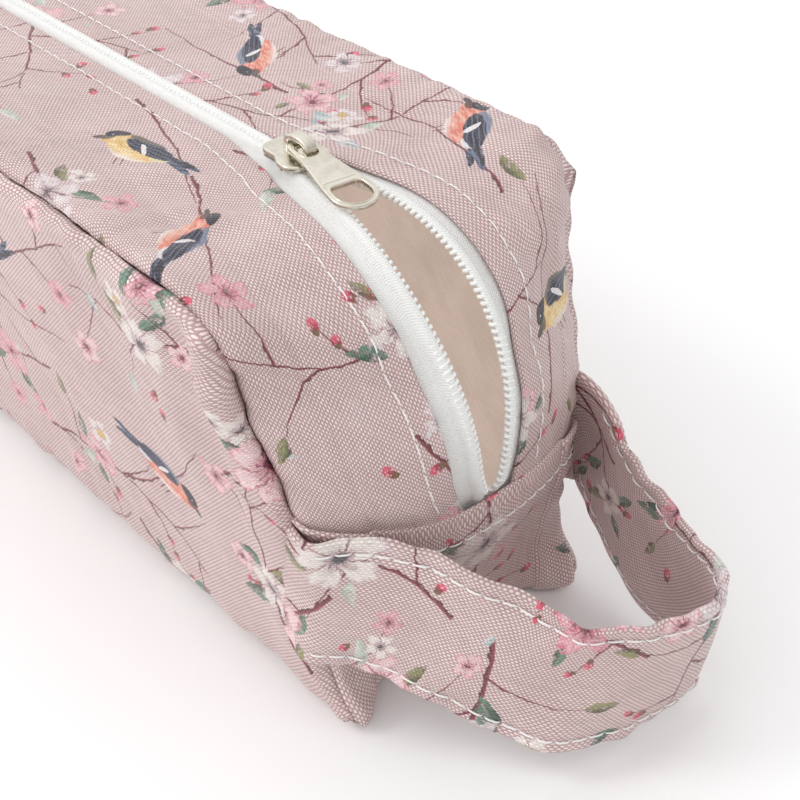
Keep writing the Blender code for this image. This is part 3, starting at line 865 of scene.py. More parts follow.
def build_leaf(n, under, place_):
    x, y, kind, seed = n.motif(place_, 2.0, 0.36)
    y = y + x * x * (seed * 0.5 - 0.25)
    span = n.math("SUBTRACT", 1.0, x * x, clamp=True)
    wide = span ** 0.85 * 0.40 * (1.0 - x * 0.30)
    side = abs(y)
    leaf = n.ramp(side, wide + 0.015, wide - 0.05) * n.ramp(span, 0.0, 0.06)
    blue, pale = n.above(kind, 0.5), n.above(kind, 2.5)
    cool = n.mix(n.ramp(seed, 0.35, 0.6), (0.42, 0.52, 0.42), (0.33, 0.47, 0.52))
    dark = n.mix(pale, n.mix(blue, (0.055, 0.060, 0.015), (0.012, 0.060, 0.040)), cool)
    light = n.mix(pale, n.mix(blue, (0.27, 0.28, 0.10), (0.11, 0.24, 0.17)), (0.66, 0.70, 0.66))
    wash = n.noise(n.join(x, y, seed * 30.0), 2.6, 3.0, 0.65)
    tone = n.coats(dark, (n.ramp(wash + y * 0.5, 0.35, 0.68), light),
                   (n.ramp(side, 0.05, 0.015) * 0.25, (0.55, 0.55, 0.38)))
    painted = n.mix(leaf * n.ramp(wash, 0.32, 0.52, 0.15, 0.95), under, tone)
    flat = n.join(x, y)
    swell, cup = n.ellipse(flat, 0.1, 0.0, 0.85, 0.62, 0, 0.12)[0], \
        n.ellipse(flat, -0.65, 0.0, 0.38, 0.45, 0, 0.15)[0]
    bud = n.coats((0.30, 0.015, 0.035), (n.ramp(x, -0.3, 0.6), (0.70, 0.10, 0.17)),
                  (n.ramp(wash, 0.50, 0.68), (0.86, 0.52, 0.54)), (cup, (0.18, 0.10, 0.05)))
    is_bud = n.above(kind, 1.5) * (1.0 - pale)
    return [n.mix(is_bud, painted, n.mix(swell.max(cup), under, bud))]


def build_twig(n, under, place_):
    along, off, wide = n.split(place_)
    knots = n.noise(n.join(along * 0.35, off * 0.2), 1.3, 3.0)
    wide = wide * n.ramp(knots, 0.3, 0.7, 0.55, 1.35, "LINEAR")
    off = off + (knots - 0.5) * 1.1
    mask = n.ramp(abs(off), wide + 0.10, wide - 0.16) * n.ramp(wide, 0.0, 0.12)
    bark = n.mix(n.ramp(off / wide.max(0.1), -0.6, 0.9), (0.095, 0.008, 0.018), (0.30, 0.040, 0.060))
    return [n.mix(mask * 0.96, under, bark)]


# Parts of a bird: centre, radii and turn of an ellipse, in motif coordinates
BIRD_PARTS = {
    "tail_a": (-0.74, -0.16, 0.36, 0.060, 12), "tail_b": (-0.70, -0.23, 0.33, 0.055, 24),
    "body": (-0.02, 0.0, 0.46, 0.285, 20), "head": (0.40, 0.23, 0.205, 0.19, 0),
    "cap": (0.40, 0.33, 0.20, 0.115, -8), "beak": (0.62, 0.20, 0.10, 0.042, -14),
    "face": (0.50, 0.20, 0.10, 0.08, 0), "wing": (-0.20, 0.02, 0.43, 0.135, 22),
    "bar": (-0.10, 0.02, 0.16, 0.038, 60), "rump": (-0.42, -0.13, 0.16, 0.11, 20),
    "eye": (0.46, 0.27, 0.030, 0.030, 0), "glint": (0.468, 0.280, 0.011, 0.011, 0),
    "leg_a": (0.02, -0.36, 0.014, 0.10, -10), "leg_b": (0.12, -0.36, 0.014, 0.10, -10),
}


def build_bird(n, under, place_):
    x, y, kind, seed = n.motif(place_, 6.0, 0.06)
    p = n.join(x, y)
    yellow = n.above(kind, 0.5)
    streak = n.noise(n.join(x * 2.0, y * 7.0, seed), 3.0, 3.0)
    ink, leg = (0.010, 0.012, 0.028), (0.25, 0.12, 0.10)
    part = {word: n.ellipse(p, *form) for word, form in BIRD_PARTS.items()}
    height = n.split(part["body"][1])[1]
    part = {word: mask for word, (mask, _local) in part.items()}
    breast = n.mix(yellow, (0.72, 0.20, 0.13), (0.74, 0.47, 0.16))
    pale = n.mix(yellow, (0.86, 0.52, 0.42), (0.86, 0.72, 0.42))
    back = n.mix(yellow, (0.20, 0.24, 0.33), (0.17, 0.15, 0.12))
    body = n.coats(breast, (n.ramp(streak, 0.35, 0.7), pale), (n.ramp(height, 0.15, 0.65), back),
                   (n.ramp(height, -0.55, -0.95), (0.84, 0.76, 0.72)))
    feather = ((y + x * -0.36) * 14.0).fract()
    return [n.coats(
        under, (part["tail_a"].max(part["tail_b"]),
                n.mix(n.ramp(streak, 0.45, 0.6), ink, (0.12, 0.16, 0.26))),
        (part["body"], body),
        (part["rump"], n.mix(yellow, (0.74, 0.74, 0.76), (0.70, 0.66, 0.40))),
        (part["head"], n.mix(n.ramp(streak, 0.4, 0.7), breast, pale)),
        (part["cap"] * part["head"], ink), (part["face"] * 0.8, ink),
        (part["beak"], (0.10, 0.08, 0.08)),
        (part["wing"], n.mix(n.ramp(feather, 0.70, 0.9), ink, (0.13, 0.16, 0.27))),
        (part["bar"] * part["wing"], (0.80, 0.78, 0.78)), (part["eye"], (0.0, 0.0, 0.0)),
        (part["glint"], (0.9, 0.9, 0.9)), (part["leg_a"], leg), (part["leg_b"], leg))]


# ------------------------------------------------------------------ materials

WEAVE_PITCH, LINING_PITCH = 0.48, 0.34  # mm from thread to thread


def build_weave(n, uv, pitch):
    """Floating weft over warp: inputs uv in mm and pitch; outputs height, thread tone, crown."""
    x, y, _ = n.split(n.vector("DIVIDE", uv, n.join(pitch, pitch, 1.0)))
    row = y.floor()
    slid = (x + row) * 0.5
    fx, fy = abs(slid.fract() - 0.5), abs(y.fract() - 0.5)
    far = (fx / 0.345) ** 2.4 + (fy / 0.42) ** 2.4
    crown = n.ramp(far, 1.25, 0.55)
    under = n.ramp(fx, 0.30, 0.5) * n.ramp(fy, 0.5, 0.1, 0.25, 0.45)
    weft = n.random(n.join((x / 26.0).floor(), row, 7.0))
    warp = n.random(n.join(slid.floor(), (y / 26.0).floor(), 3.0))
    tone = n.mix(crown, n.join(warp, warp, warp), n.join(weft, weft, weft))
    return [n.ramp(far, 1.5, 0.0).max(under), n.split(tone)[0], crown]


WEAVE = group("plain_weave", {"UV": "Vector", "Pitch": "Float"},
              {"Height": "Float", "Tone": "Float", "Crown": "Float"}, build_weave)
PAINTS = {build.__name__[6:]: group(build.__name__.replace("build", "print"),
                                    {"Under": "Color", "Place": "Vector"}, {"Colour": "Color"}, build)
          for build in (build_twig, build_leaf, build_bloom, build_bird)}


def new_material(name, build):
    """Material whose builder gives the inputs of its Principled shader."""
    m = bpy.data.materials.new(name)
    m.use_nodes = True
    n = Nodes(m.node_tree)
    shader = m.node_tree.nodes["Principled BSDF"]
    for socket, value in build(n).items():
        n.feed(shader.inputs[socket], value)
    return m


def printed_cloth(n):
    uv = n.cloth_uv()
    drift = n.noise(uv, 0.25)
    bent = n.vector("ADD", uv, n.join(drift * 0.5, drift * 0.4))
    height, tone, crown = n.use(WEAVE, bent, WEAVE_PITCH)
    cloud = n.ramp(n.noise(uv, 0.045, 3.0, 0.6), 0.3, 0.7)
    warp = n.mix(cloud, (0.480, 0.322, 0.314), (0.530, 0.366, 0.356))
    weft = n.mix(cloud, (0.700, 0.586, 0.572), (0.760, 0.650, 0.636))
    u, v, _ = n.split(uv)
    ground = n.coats(
        warp, (crown, weft),
        (n.ramp(n.noise(uv, 0.11, 4.0, 0.75), 0.56, 0.72, 0.0, 0.30), (0.68, 0.60, 0.59)),
        (n.ramp(n.noise(n.join(u + 400.0, v), 0.10, 3.0, 0.7), 0.63, 0.74, 0.0, 0.38),
         (0.52, 0.55, 0.42)))
    colour = ground
    for slot in SLOTS:
        place_ = n.wire("ShaderNodeAttribute", pick="Vector", attribute_name=slot)
        colour = n.use(PAINTS[slot.split("_")[0]], colour, place_)[0]
    worn = n.ramp(n.noise(uv, 0.55, 4.0, 0.8), 0.52, 0.80, 0.02, 0.38)
    # print worn away in patches back to the ground, then a faint painted highlight whitening the
    # thread crowns
    colour = n.coats(colour, (worn, ground), (crown * 0.03, (0.80, 0.73, 0.71)))
    # painted highlight: the thread crowns brightened
    for factor, tint in ((crown, (1.12, 1.10, 1.10)),
                         # painted shade: the low gaps between threads darkened
                         (n.ramp(height, 0.42, 0.05, 0.0, 0.30), (0.66, 0.55, 0.55)),
                         (tone, (1.16, 1.14, 1.14))):
        colour = n.tinted(factor, colour, tint)
    fuzz = height + n.noise(uv, 5.0) * 0.25
    soft = n.bump(n.noise(uv, 0.22, 4.0, 0.6), 0.35, 0.0012)
    return {"Base Color": colour, "Specular IOR Level": 0.6, "Sheen Weight": 0.05,
            "Roughness": n.ramp(crown + tone * 0.4, 0.0, 1.4, 0.52, 0.27, "LINEAR"),
            "Sheen Roughness": 0.4, "Normal": n.bump(fuzz, 0.75, 0.00025, Normal=soft)}


def lining_cloth(n):
    uv = n.cloth_uv()
    height, tone, _crown = n.use(WEAVE, uv, LINING_PITCH)
    cloud = n.ramp(n.noise(uv, 0.06, 3.0, 0.6), 0.3, 0.7)
    colour = n.mix(cloud, (0.56, 0.48, 0.43), (0.49, 0.42, 0.37))
    # painted shade: the low gaps between threads darkened
    colour = n.tinted(n.ramp(height, 0.5, 0.05, 0.0, 0.28), colour, (0.62, 0.58, 0.55))
    colour = n.mix(tone * 0.10, colour, (0.95, 0.93, 0.90))
    soft = n.bump(n.noise(uv, 0.18, 3.0), 0.35, 0.0015)
    # a faint light of its own stands in for daylight through thin cloth
    return {"Base Color": colour, "Roughness": 0.72, "Sheen Weight": 0.2, "Emission Color": colour,
            "Emission Strength": 0.50, "Normal": n.bump(height, 0.4, 0.00015, Normal=soft)}


def zip_tape(n):
    uv = n.cloth_uv()
    x, y, _ = n.split(uv)
    zig = abs((y * 0.42).fract() - 0.5)
    rib = abs((x * 1.9 + zig * 2.6).fract() - 0.5)
    fuzz = n.noise(uv, 3.2, 3.0, 0.7)
    colour = n.coats(
        (0.93, 0.93, 0.91), (n.ramp(rib, 0.0, 0.5, 0.0, 0.55, "LINEAR"), (0.76, 0.755, 0.735)),
        (n.ramp(fuzz, 0.35, 0.7, 0.0, 0.35), (0.95, 0.95, 0.93)),
        (n.ramp(n.noise(uv, 0.10, 3.0, 0.7), 0.5, 0.8, 0.0, 0.12), (0.88, 0.84, 0.80)))
    return {"Base Color": colour, "Roughness": 0.68, "Sheen Weight": 0.3,
            "Normal": n.bump(rib + fuzz * 0.8, 0.7, 0.00030)}


def zip_coil(n):
    stain = n.noise(n.wire("ShaderNodeNewGeometry", pick="Position"), 160.0, 3.0)
    return {"Base Color": n.mix(n.ramp(stain, 0.3, 0.7), (0.95, 0.95, 0.93), (0.89, 0.89, 0.87)),
            "Roughness": n.ramp(stain, 0.3, 0.7, 0.28, 0.44, "LINEAR"),
            "Subsurface Weight": 0.15, "Subsurface Radius": (0.0006, 0.0006, 0.0006)}


def thread(n):
    x, y, _ = n.split(n.cloth_uv())
    lobe = abs((x * 2.2 + y).fract() - 0.5)
    return {"Base Color": n.mix(n.ramp(lobe, 0.1, 0.5), (0.97, 0.96, 0.95), (0.80, 0.77, 0.76)),
            "Roughness": 0.55, "Sheen Weight": 0.3, "Normal": n.bump(lobe, 0.6, 0.0001)}


def nickel(n):
    pos = n.wire("ShaderNodeTexCoord", pick="Object")
    worn = n.noise(pos, 240.0, 4.0, 0.7)
    brushed = n.wire("ShaderNodeMapping", {"Vector": pos, "Scale": (300.0, 2400.0, 900.0)})
    scratch = n.noise(brushed, 1.0, 2.0, 0.8)
    return {"Base Color": n.mix(n.ramp(worn, 0.35, 0.7), (0.74, 0.70, 0.61), (0.61, 0.57, 0.49)),
            "Metallic": 1.0, "Roughness": n.ramp(worn + scratch, 0.7, 1.3, 0.12, 0.32, "LINEAR"),
            "Normal": n.bump(scratch, 0.08, 0.00005)}


PRINTED, LINING, TAPE, COIL, THREAD, NICKEL = (
    new_material(build.__name__, build)
    for build in (printed_cloth, lining_cloth, zip_tape, zip_coil, thread, nickel))


# ------------------------------------------------------------------ mesh making

def show(mesh, material):
    """Object in the scene for a finished mesh, smooth shaded."""
    mesh.materials.append(material)
    mesh.polygons.foreach_set("use_smooth", np.ones(len(mesh.polygons), bool))
    item = bpy.data.objects.new(mesh.name, mesh)
    bpy.context.scene.collection.objects.link(item)
    return item


def mesh_item(name, verts, faces, material):
    mesh = bpy.data.meshes.new(name)
    mesh.from_pydata(np.asarray(verts).reshape(-1, 3).tolist(), [], faces)
    return show(mesh, material)


def grid_faces(nu, nv, close_v=False):
    i, j = np.meshgrid(np.arange(nu - 1), np.arange(nv if close_v else nv - 1), indexing="ij")
    jn = (j + 1) % nv
    quads = np.stack([i * nv + j, (i + 1) * nv + j, (i + 1) * nv + jn, i * nv + jn], -1)
    return quads.reshape(-1, 4)


def outward_faces(p, close_v=False):
    """Faces of a grid, turned away from the bag's middle."""
    faces = grid_faces(*p.shape[:2], close_v)
    corner = p.reshape(-1, 3)[faces]
    facing = np.cross(corner[:, 2] - corner[:, 0], corner[:, 3] - corner[:, 1])
    return faces[:, ::-1] if np.sum(facing * (corner.mean(1) - CENTRE)) < 0 else faces


def sheet(name, p, material, close_v=False):
    return mesh_item(name, p, outward_faces(p, close_v).tolist(), material)


def set_uv(item, uv, girth=None):
    """Cloth coordinates per vertex, in metres. On a closed strip none runs backwards to its start."""
    mesh = item.data
    index = np.zeros(len(mesh.loops), int)
    mesh.loops.foreach_get("vertex_index", index)
    flat = np.asarray(uv, float).reshape(-1, 2)[index]
    if girth:
        v = flat.reshape(-1, 4, 2)[..., 1]
        wraps = (v.max(1) - v.min(1) > girth / 3)[:, None]
        v += girth * (wraps & (v < 0.0))
    mesh.uv_layers.new(name="cloth").data.foreach_set("uv", flat.ravel())
    return flat


def paint(item, uv, design, girth=None):
    flat = set_uv(item, uv, girth).reshape(-1, 4, 2) / MM
    for slot, values in design.slot_values(flat).items():
        layer = item.data.attributes.new(slot, "FLOAT_VECTOR", "CORNER")
        layer.data.foreach_set("vector", values.astype(np.float32).ravel())


def mark_mouth(item, station, shift):
    """Data for the opening: distance along the zip, and how a unit of opening moves the point."""
    count = len(item.data.vertices)
    moves = np.zeros((count, 3), np.float32)
    moves[:, 1] = np.broadcast_to(shift, np.shape(station)).ravel()
    for name, kind, field, values in (
            ("zip_s", "FLOAT", "value", np.asarray(station, np.float32)),
            ("mouth_shift", "FLOAT_VECTOR", "vector", moves)):
        item.data.attributes.new(name, kind, "POINT").data.foreach_set(field, values.ravel())
    item.modifiers.new("mouth", "NODES").node_group = MOUTH


def each_column(s, p):
    """A value per station, repeated for every point of its row."""
    return np.repeat(s[:, None], p.shape[1], 1)


def thicken(item, depth, offset=-1.0):
    """Gives a sheet its thickness, inwards, or on both sides when offset is 0."""
    assign(item.modifiers.new("thickness", "SOLIDIFY"), thickness=depth, offset=offset,
           use_even_offset=False)


def place(item, body, slot, node):
    """Puts the piece on a body and hides the CAD node it stands for; its finish is not used."""
    if body == "strap":  # strap pieces keep their baked transform and are not put on the strap body
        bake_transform(item)
    else:
        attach(item, body)
    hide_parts(node)


# ------------------------------------------------------------------ outer cloth

def fold_rows(edge, inward_side, normal, radius, tuck, steps=6):
    """Rows that carry a sheet's edge round a fold and back underneath it.

    inward_side points off the sheet past its edge.
    """
    turns = [math.pi * k / steps for k in range(1, steps + 1)]
    rows = [edge + inward_side * (radius * math.sin(a)) - normal * (radius * (1 - math.cos(a)))
            for a in turns]
    return rows + [edge - inward_side * (tuck * d) - normal * (2 * radius + 0.0001)
                   for d in (0.35, 1.0)]


# Cloth coordinates of those rows, last first
FOLD_RUN = np.array([-0.0065, -0.0035] + [-0.002 * (1 - k / 6) for k in range(6)])


def build_side(word, side):
    p = SHELL[f"side_{word}"]
    item = sheet(f"{word}_panel_cloth", p, PRINTED)
    soft = calm(p, 12)
    across = across_lengths(soft)
    v = 0.5 * calm(across, 40) + 0.5 * np.broadcast_to(across.mean(axis=0), across.shape)
    uv = np.stack([calm(along_lengths(soft) * -side, 40), v], -1)
    paint(item, uv, Print(-112, 112, -4, 106, 5 if side < 0 else 9, BIRDS["side"]))
    thicken(item, 0.0006)
    place(item, "shell", "printed_cloth", f"{word}_panel")


def build_zip_half(word, side):
    """One half of the zip gusset, with both ends carried on under the base gusset's hems."""
    p, n, s = SHELL[f"zip_{word}"], NORMAL[f"zip_{word}"], STATION[word]
    half = np.s_[:K * FINE + 1] if side < 0 else np.s_[-K * FINE - 1:]
    base, base_n = (grid["base"][:, half][:, ::side] for grid in (SHELL, NORMAL))
    under = base - base_n * 0.0009
    tucks = np.array([2, 4, 6, 8])
    p = np.concatenate([under[tucks[::-1]], p, under[-1 - tucks]])
    n = np.concatenate([base_n[tucks[::-1]], n, base_n[-1 - tucks]])
    step = s[0] - s[1]
    s = np.concatenate([s[0] + step * tucks[::-1], s, s[-1] - step * tucks])
    across = across_lengths(p)
    hem = fold_rows(p[:, 0], unit(p[:, 0] - p[:, 1]), n[:, 0], 0.00062, 0.0050)
    full = np.concatenate([np.stack(hem[::-1], 1), p], 1)
    item = sheet(f"zip_gusset_{word}_cloth", full, PRINTED)
    run = along_lengths(calm(p, 40))
    run = calm(0.5 * run + 0.5 * run.mean(1, keepdims=True), 40)
    v = np.concatenate([np.repeat(FOLD_RUN[None], len(p), 0), across], 1)
    u = np.concatenate([np.repeat(run[:, :1], len(hem), 1), run], 1)
    design = Print(-160, 160, -6, 44, 14 if side < 0 else 23, BIRDS[f"zip_{word}"])
    paint(item, np.stack([u * side, v], -1), design)
    fade = np.concatenate([np.zeros(len(hem)), np.linspace(0, 1, p.shape[1])])
    mark_mouth(item, each_column(s, full), side * (1 - fade))
    thicken(item, 0.0005)
    place(item, "shell", "printed_cloth", f"zip_gusset_{word}")
    return p, n, s, across


def build_base():
    p, n = SHELL["base"], NORMAL["base"]
    rows = np.arange(len(p))
    from_end = np.minimum(rows, len(p) - 1 - rows) * 0.0011
    p = p + n * (0.0007 * (1 - smooth(0.004, 0.016, from_end)))[:, None, None]
    ends = []
    for edge, nxt in ((0, 1), (-1, -2)):
        away = unit(p[edge] - p[nxt])
        p[edge] = p[edge] + away * 0.0016
        ends.append(np.stack(fold_rows(p[edge], away, n[edge], 0.00055, 0.0060)))
    full = np.concatenate([ends[0][::-1], p, ends[1]])
    full[..., 2] = np.maximum(full[..., 2], 0.0001)
    item = sheet("base_gusset_cloth", full, PRINTED)
    mid = lengths(FLAT["base"][:, p.shape[1] // 2])
    u = np.concatenate([FOLD_RUN, mid, mid[-1] - FOLD_RUN[::-1]]) - 0.148
    y = np.mean(FLAT["base"][..., 1], axis=0)
    uv = np.stack(np.broadcast_arrays(u[:, None], -y[None]), -1)
    paint(item, uv, Print(-160, 160, -40, 40, 31, BIRDS["base"]))
    thicken(item, 0.0005)
    place(item, "shell", "printed_cloth", "base_gusset")
    return p, n


for word, side in SIDES:
    build_side(word, side)
HALVES = {word: build_zip_half(word, side) for word, side in SIDES}
BASE_P, BASE_N = build_base()


# ------------------------------------------------------------------ threads

def tube(centres, across, up, radius, sides, squash=1.0):
    """Vertices and faces of a capped tube along centres, with cross axes given per ring."""
    ang = np.arange(sides) / sides * 2 * math.pi
    ring = (across[:, None] * (np.cos(ang)[None, :, None] * radius[:, None, None])
            + up[:, None] * (np.sin(ang)[None, :, None] * (radius * squash)[:, None, None]))
    faces = grid_faces(len(centres), sides, close_v=True).tolist()
    last = (len(centres) - 1) * sides
    faces += [list(range(sides))[::-1], list(range(last, last + sides))]
    return (centres[:, None] + ring).reshape(-1, 3), faces


def stitch_row(name, points, normals, seed, marks=None, body="shell", radius=0.00016, lift=0.00010):
    """A row of separate stitches whose ends dive into the cloth; marks are the mouth's data."""
    pitch, length, rings, sides = 0.0034, 0.0031, 9, 7
    marks = np.zeros((len(points), 2)) if marks is None else marks
    step = pitch / 10.0
    run = lengths(points)
    d = np.arange(0, run[-1], step)
    p, n, e = (columns(d, run, values) for values in (points, normals, marks))
    n = unit(n)
    rng = random.Random(seed)
    q = np.linspace(0, 1, rings)
    dive = np.sin(np.pi * q)
    rise = lift + 0.00022 * dive ** 0.6 - 0.00030 * (1 - dive) ** 4
    verts, faces, uvs, data = [], [], [], []
    for k in range(int(d[-1] / pitch)):
        start = k * pitch + pitch * 0.04 + rng.uniform(-0.0001, 0.0001)
        at = np.clip((start + q * length) / step, 0, len(p) - 1.001)
        i = at.astype(int)
        t = (at - i)[:, None]
        c, nn, ee = (lerp(values[i], values[i + 1], t) for values in (p, n, e))
        nn = unit(nn)
        across = unit(np.cross(nn, unit(np.gradient(c, axis=0))))
        c = c + nn * rise[:, None] + across * ((q - 0.5)[:, None] * rng.uniform(0.0, 0.00018))
        v, f = tube(c, across, nn, radius * (0.55 + 0.45 * dive ** 0.5), sides, 0.85)
        faces += [[x + k * rings * sides for x in face] for face in f]
        verts.append(v)
        uvs.append(np.stack([np.repeat(start + q * length, sides),
                             np.tile(np.arange(sides) / sides * 0.001, rings)], 1))
        data.append(np.repeat(ee, sides, 0))
    item = mesh_item(name + "_thread", np.concatenate(verts), faces, THREAD)
    set_uv(item, np.concatenate(uvs))
    if marks.any():
        mark_mouth(item, *np.concatenate(data).T)
    place(item, body, "thread", name)


def at_distance(p, n, across, want):
    """Points, normals and share of the width at a distance in from the lip, station by station."""
    pts, nrm = (np.array([columns(want, run, row) for row, run in zip(grid, across)])
                for grid in (p, n))
    share = [np.interp(want, run, np.linspace(0, 1, len(run))) for run in across]
    return pts, unit(nrm), np.array(share)


TOPSTITCH_IN = 0.0047  # distance of the topstitch from the lip

for word, side in SIDES:
    p, n, s, across = HALVES[word]
    pts, nrm, share = at_distance(p, n, across, TOPSTITCH_IN)
    marks = np.stack([s, side * (1 - share)], 1)
    stitch_row(f"topstitch_{word}", pts[8:-8], nrm[8:-8], 3 + side, marks[8:-8])
for word, row in (("strap_end", 4), ("far_end", -5)):
    stitch_row(f"junction_stitch_{word}", BASE_P[row, 2:-2], BASE_N[row, 2:-2], 7)


# ------------------------------------------------------------------ zip

def zip_frame(s, side):
    """Point on the zip's inner edge at distance s along it, with its axes."""
    m = MIDDLE.total - np.abs(s)
    spot = MIDDLE.at(m)
    ahead = MIDDLE.at(m - 0.0005) - MIDDLE.at(m + 0.0005)
    sign = np.where(s >= 0, 1.0, -1.0)
    along = unit(np.stack([ahead[:, 0] * sign, np.zeros(len(s)), ahead[:, 1]], 1))
    normal = np.cross(along * sign[:, None], [0, -1, 0])
    flip = np.where(normal[:, 2] + normal[:, 0] * sign < 0, -1.0, 1.0)
    normal = unit(normal * flip[:, None])
    y = half_gap(s)
    # it crowns across its width, and dives under the hem at its ends
    drop = (y / 0.040) ** 2.4 * 0.0008 + 0.0023 * smooth(S_END - 0.0060, S_END - 0.0020, np.abs(s))
    p = np.stack([spot[:, 0] * sign, side * y, spot[:, 1]], 1)
    return p - normal * drop[:, None], np.tile([0.0, float(side), 0.0], (len(s), 1)), normal, along


# Cross-section of the tape in mm: distance out from the inner edge, height over the zip's level
RIDGE = np.array([(0.12, 0.15), (0.16, 0.60), (0.38, 0.92), (0.80, 1.06), (1.30, 1.02),
                  (1.75, 0.80), (2.08, 0.36), (2.28, -0.25), (2.48, -0.85)])


def build_tape(word, side):
    p, n, s, across = HALVES[word]
    inner, _across, up, _along = zip_frame(s, side)
    lip = p[:, 0]
    reach = np.linalg.norm(lip - inner, axis=1)
    ripple = waves(s, 51 + side, 0.014) * 0.00010
    rows, shift, out = [], [], []
    for w, h in [(np.full(len(s), w), h) for w, h in RIDGE * MM] + [(reach - 0.3 * MM, -1.45 * MM)]:
        t = (w / reach)[:, None]
        normal = unit(up + (n[:, 0] - up) * np.clip(t, 0, 1))
        rows.append(inner + (lip - inner) * t + normal * (h + ripple * (w > 0.003))[:, None])
        shift.append(np.full(len(s), float(side)))
        out.append(w)
    for d in (0.0012, 0.0035, 0.0062):
        pts, nrm, share = at_distance(p, n, across, d)
        rows.append(pts - nrm * 0.0017)
        shift.append(side * (1 - share))
        out.append(reach + d)
    q = np.stack(rows, 1)
    item = sheet(f"zipper_tape_{word}_cloth", q, TAPE)
    set_uv(item, np.stack([each_column(s, q), np.stack(out, 1) * side], -1))
    mark_mouth(item, each_column(s, q), np.stack(shift, 1))
    thicken(item, 0.00040)
    assign(item.modifiers.new("round", "SUBSURF"), levels=1, render_levels=1)
    place(item, "shell", "zip_tape", f"zipper_tape_{word}")


def build_coil(word, side):
    pitch, per_turn, sides = 0.00128, 10, 6
    k = np.arange(int(2 * (S_END + 0.004) / pitch) * per_turn + 1)
    s = S_END + 0.004 - (k / per_turn + (0.5 if side > 0 else 0.0)) * pitch
    ang = 2 * math.pi * k / per_turn
    inner, across, up, along = zip_frame(s, side)
    c = inner + across * (0.00068 + 0.00104 * np.cos(ang))[:, None] \
        + up * (0.00022 + 0.00044 * np.sin(ang))[:, None]
    run = unit(np.gradient(c, axis=0))
    a = unit(np.cross(run, along))
    v, f = tube(c, a, unit(np.cross(a, run)), 0.00028 + 0.00013 * (np.cos(ang) < -0.6), sides)
    item = mesh_item(f"zipper_coil_{word}_nylon", v, f, COIL)
    mark_mouth(item, np.repeat(s, sides), float(side))
    place(item, "shell", "zip_coil", f"zipper_coil_{word}")


for word, side in SIDES:
    build_tape(word, side)
    build_coil(word, side)


# ------------------------------------------------------------------ lining

LINING_DEPTH = 0.0030
SKIP = np.s_[::FINE, ::FINE]  # the lining is as coarse as the designed grids


def outer_tree():
    verts, faces, count = [], [], 0
    for p in SHELL.values():
        faces += (outward_faces(p) + count).tolist()
        verts += p.reshape(-1, 3).tolist()
        count = len(verts)
    return BVHTree.FromPolygons(verts, faces)


OUTER = outer_tree()


def lining_sheet(name, p, uv, skip=0):
    """A lining piece, pushed in wherever it is less than 1 mm inside the outer cloth."""
    for row in p:
        for spot in row[skip:]:
            for _ in range(3):
                near, normal, _index, _gap = OUTER.find_nearest(Vector(spot))
                depth = (Vector(spot) - near).dot(normal)
                if depth < -0.0010:
                    break
                spot += np.array(-normal) * (depth + 0.0014)
    item = sheet(name + "_cloth", p, LINING)
    set_uv(item, uv)
    thicken(item, 0.0003, 0.0)
    place(item, "shell", "lining_cloth", name)
    return item


def build_lining_half(word, side):
    name = f"side_{word}"
    inward = NORMAL[name].copy()
    edges = 0, -1, np.s_[:, 0], np.s_[:, -1]
    for edge, normals in zip(edges, edge_rows(word, NORMAL, FINE)):
        inward[edge] += normals
    shared = np.linalg.norm(inward, axis=-1) > 1.05
    inward = unit(calm(inward, 8)) * (1 + 0.4 * shared[..., None])
    p = calm(SHELL[name] - 0.010 * EARS[name]) - inward * LINING_DEPTH
    lining_sheet(f"lining_{word}_panel", np.ascontiguousarray(p[SKIP]), FLAT[name][SKIP][..., ::2])
    q, n, s, _across = HALVES[word]
    q, n, s = calm(q)[::FINE], unit(calm(n))[::FINE], s[::FINE]
    start = q[:, 0] + unit(q[:, 0] - q[:, 1]) * 0.0030
    rows = np.concatenate([start[:, None], q[:, ::FINE]], 1)
    rows -= np.concatenate([n[:, :1], n[:, ::FINE]], 1) * LINING_DEPTH
    rows[:, -1, 1] -= side * LINING_DEPTH
    uv = np.stack([each_column(lengths(rows[:, 3]), rows), across_lengths(rows)], -1)
    item = lining_sheet(f"lining_gusset_{word}", rows, uv, 3)
    fade = np.concatenate([[0.0], np.linspace(0, 1, rows.shape[1] - 1)])
    mark_mouth(item, each_column(s, rows), side * (1 - fade))


def build_lining_base():
    p = calm(SHELL["base"] - 0.010 * EARS["base"]) - unit(calm(NORMAL["base"])) * LINING_DEPTH
    p[:, 0, 1] += LINING_DEPTH
    p[:, -1, 1] -= LINING_DEPTH
    p = np.ascontiguousarray(p[SKIP])
    uv = np.broadcast_arrays(lengths(p[:, p.shape[1] // 2])[:, None], np.mean(p[..., 1], axis=0)[None])
    lining_sheet("lining_base", p, np.stack(uv, -1))


for word, side in SIDES:
    build_lining_half(word, side)
build_lining_base()


# ------------------------------------------------------------------ slider and pull tab

def plate(loops, low, high, bevel, matrix):
    """Mesh of a flat plate in millimetres with rolled edges; later loops are holes."""
    curve = bpy.data.curves.new("plate", "CURVE")
    assign(curve, dimensions="2D", fill_mode="BOTH", extrude=(high - low) / 2 - bevel,
           bevel_depth=bevel, bevel_resolution=3, offset=-bevel)
    for loop in loops:
        line = curve.splines.new("POLY")
        line.points.add(len(loop) - 1)
        line.points.foreach_set("co", np.array([(x, y, 0, 1) for x, y in loop]).ravel())
        line.use_cyclic_u = True
    item = bpy.data.objects.new("plate", curve)
    bpy.context.scene.collection.objects.link(item)
    dg = bpy.context.evaluated_depsgraph_get()
    mesh = bpy.data.meshes.new_from_object(item.evaluated_get(dg))
    bpy.data.objects.remove(item, do_unlink=True)
    mesh.transform(matrix @ Matrix.Scale(MM, 4) @ Matrix.Translation((0, 0, (low + high) / 2)))
    return mesh


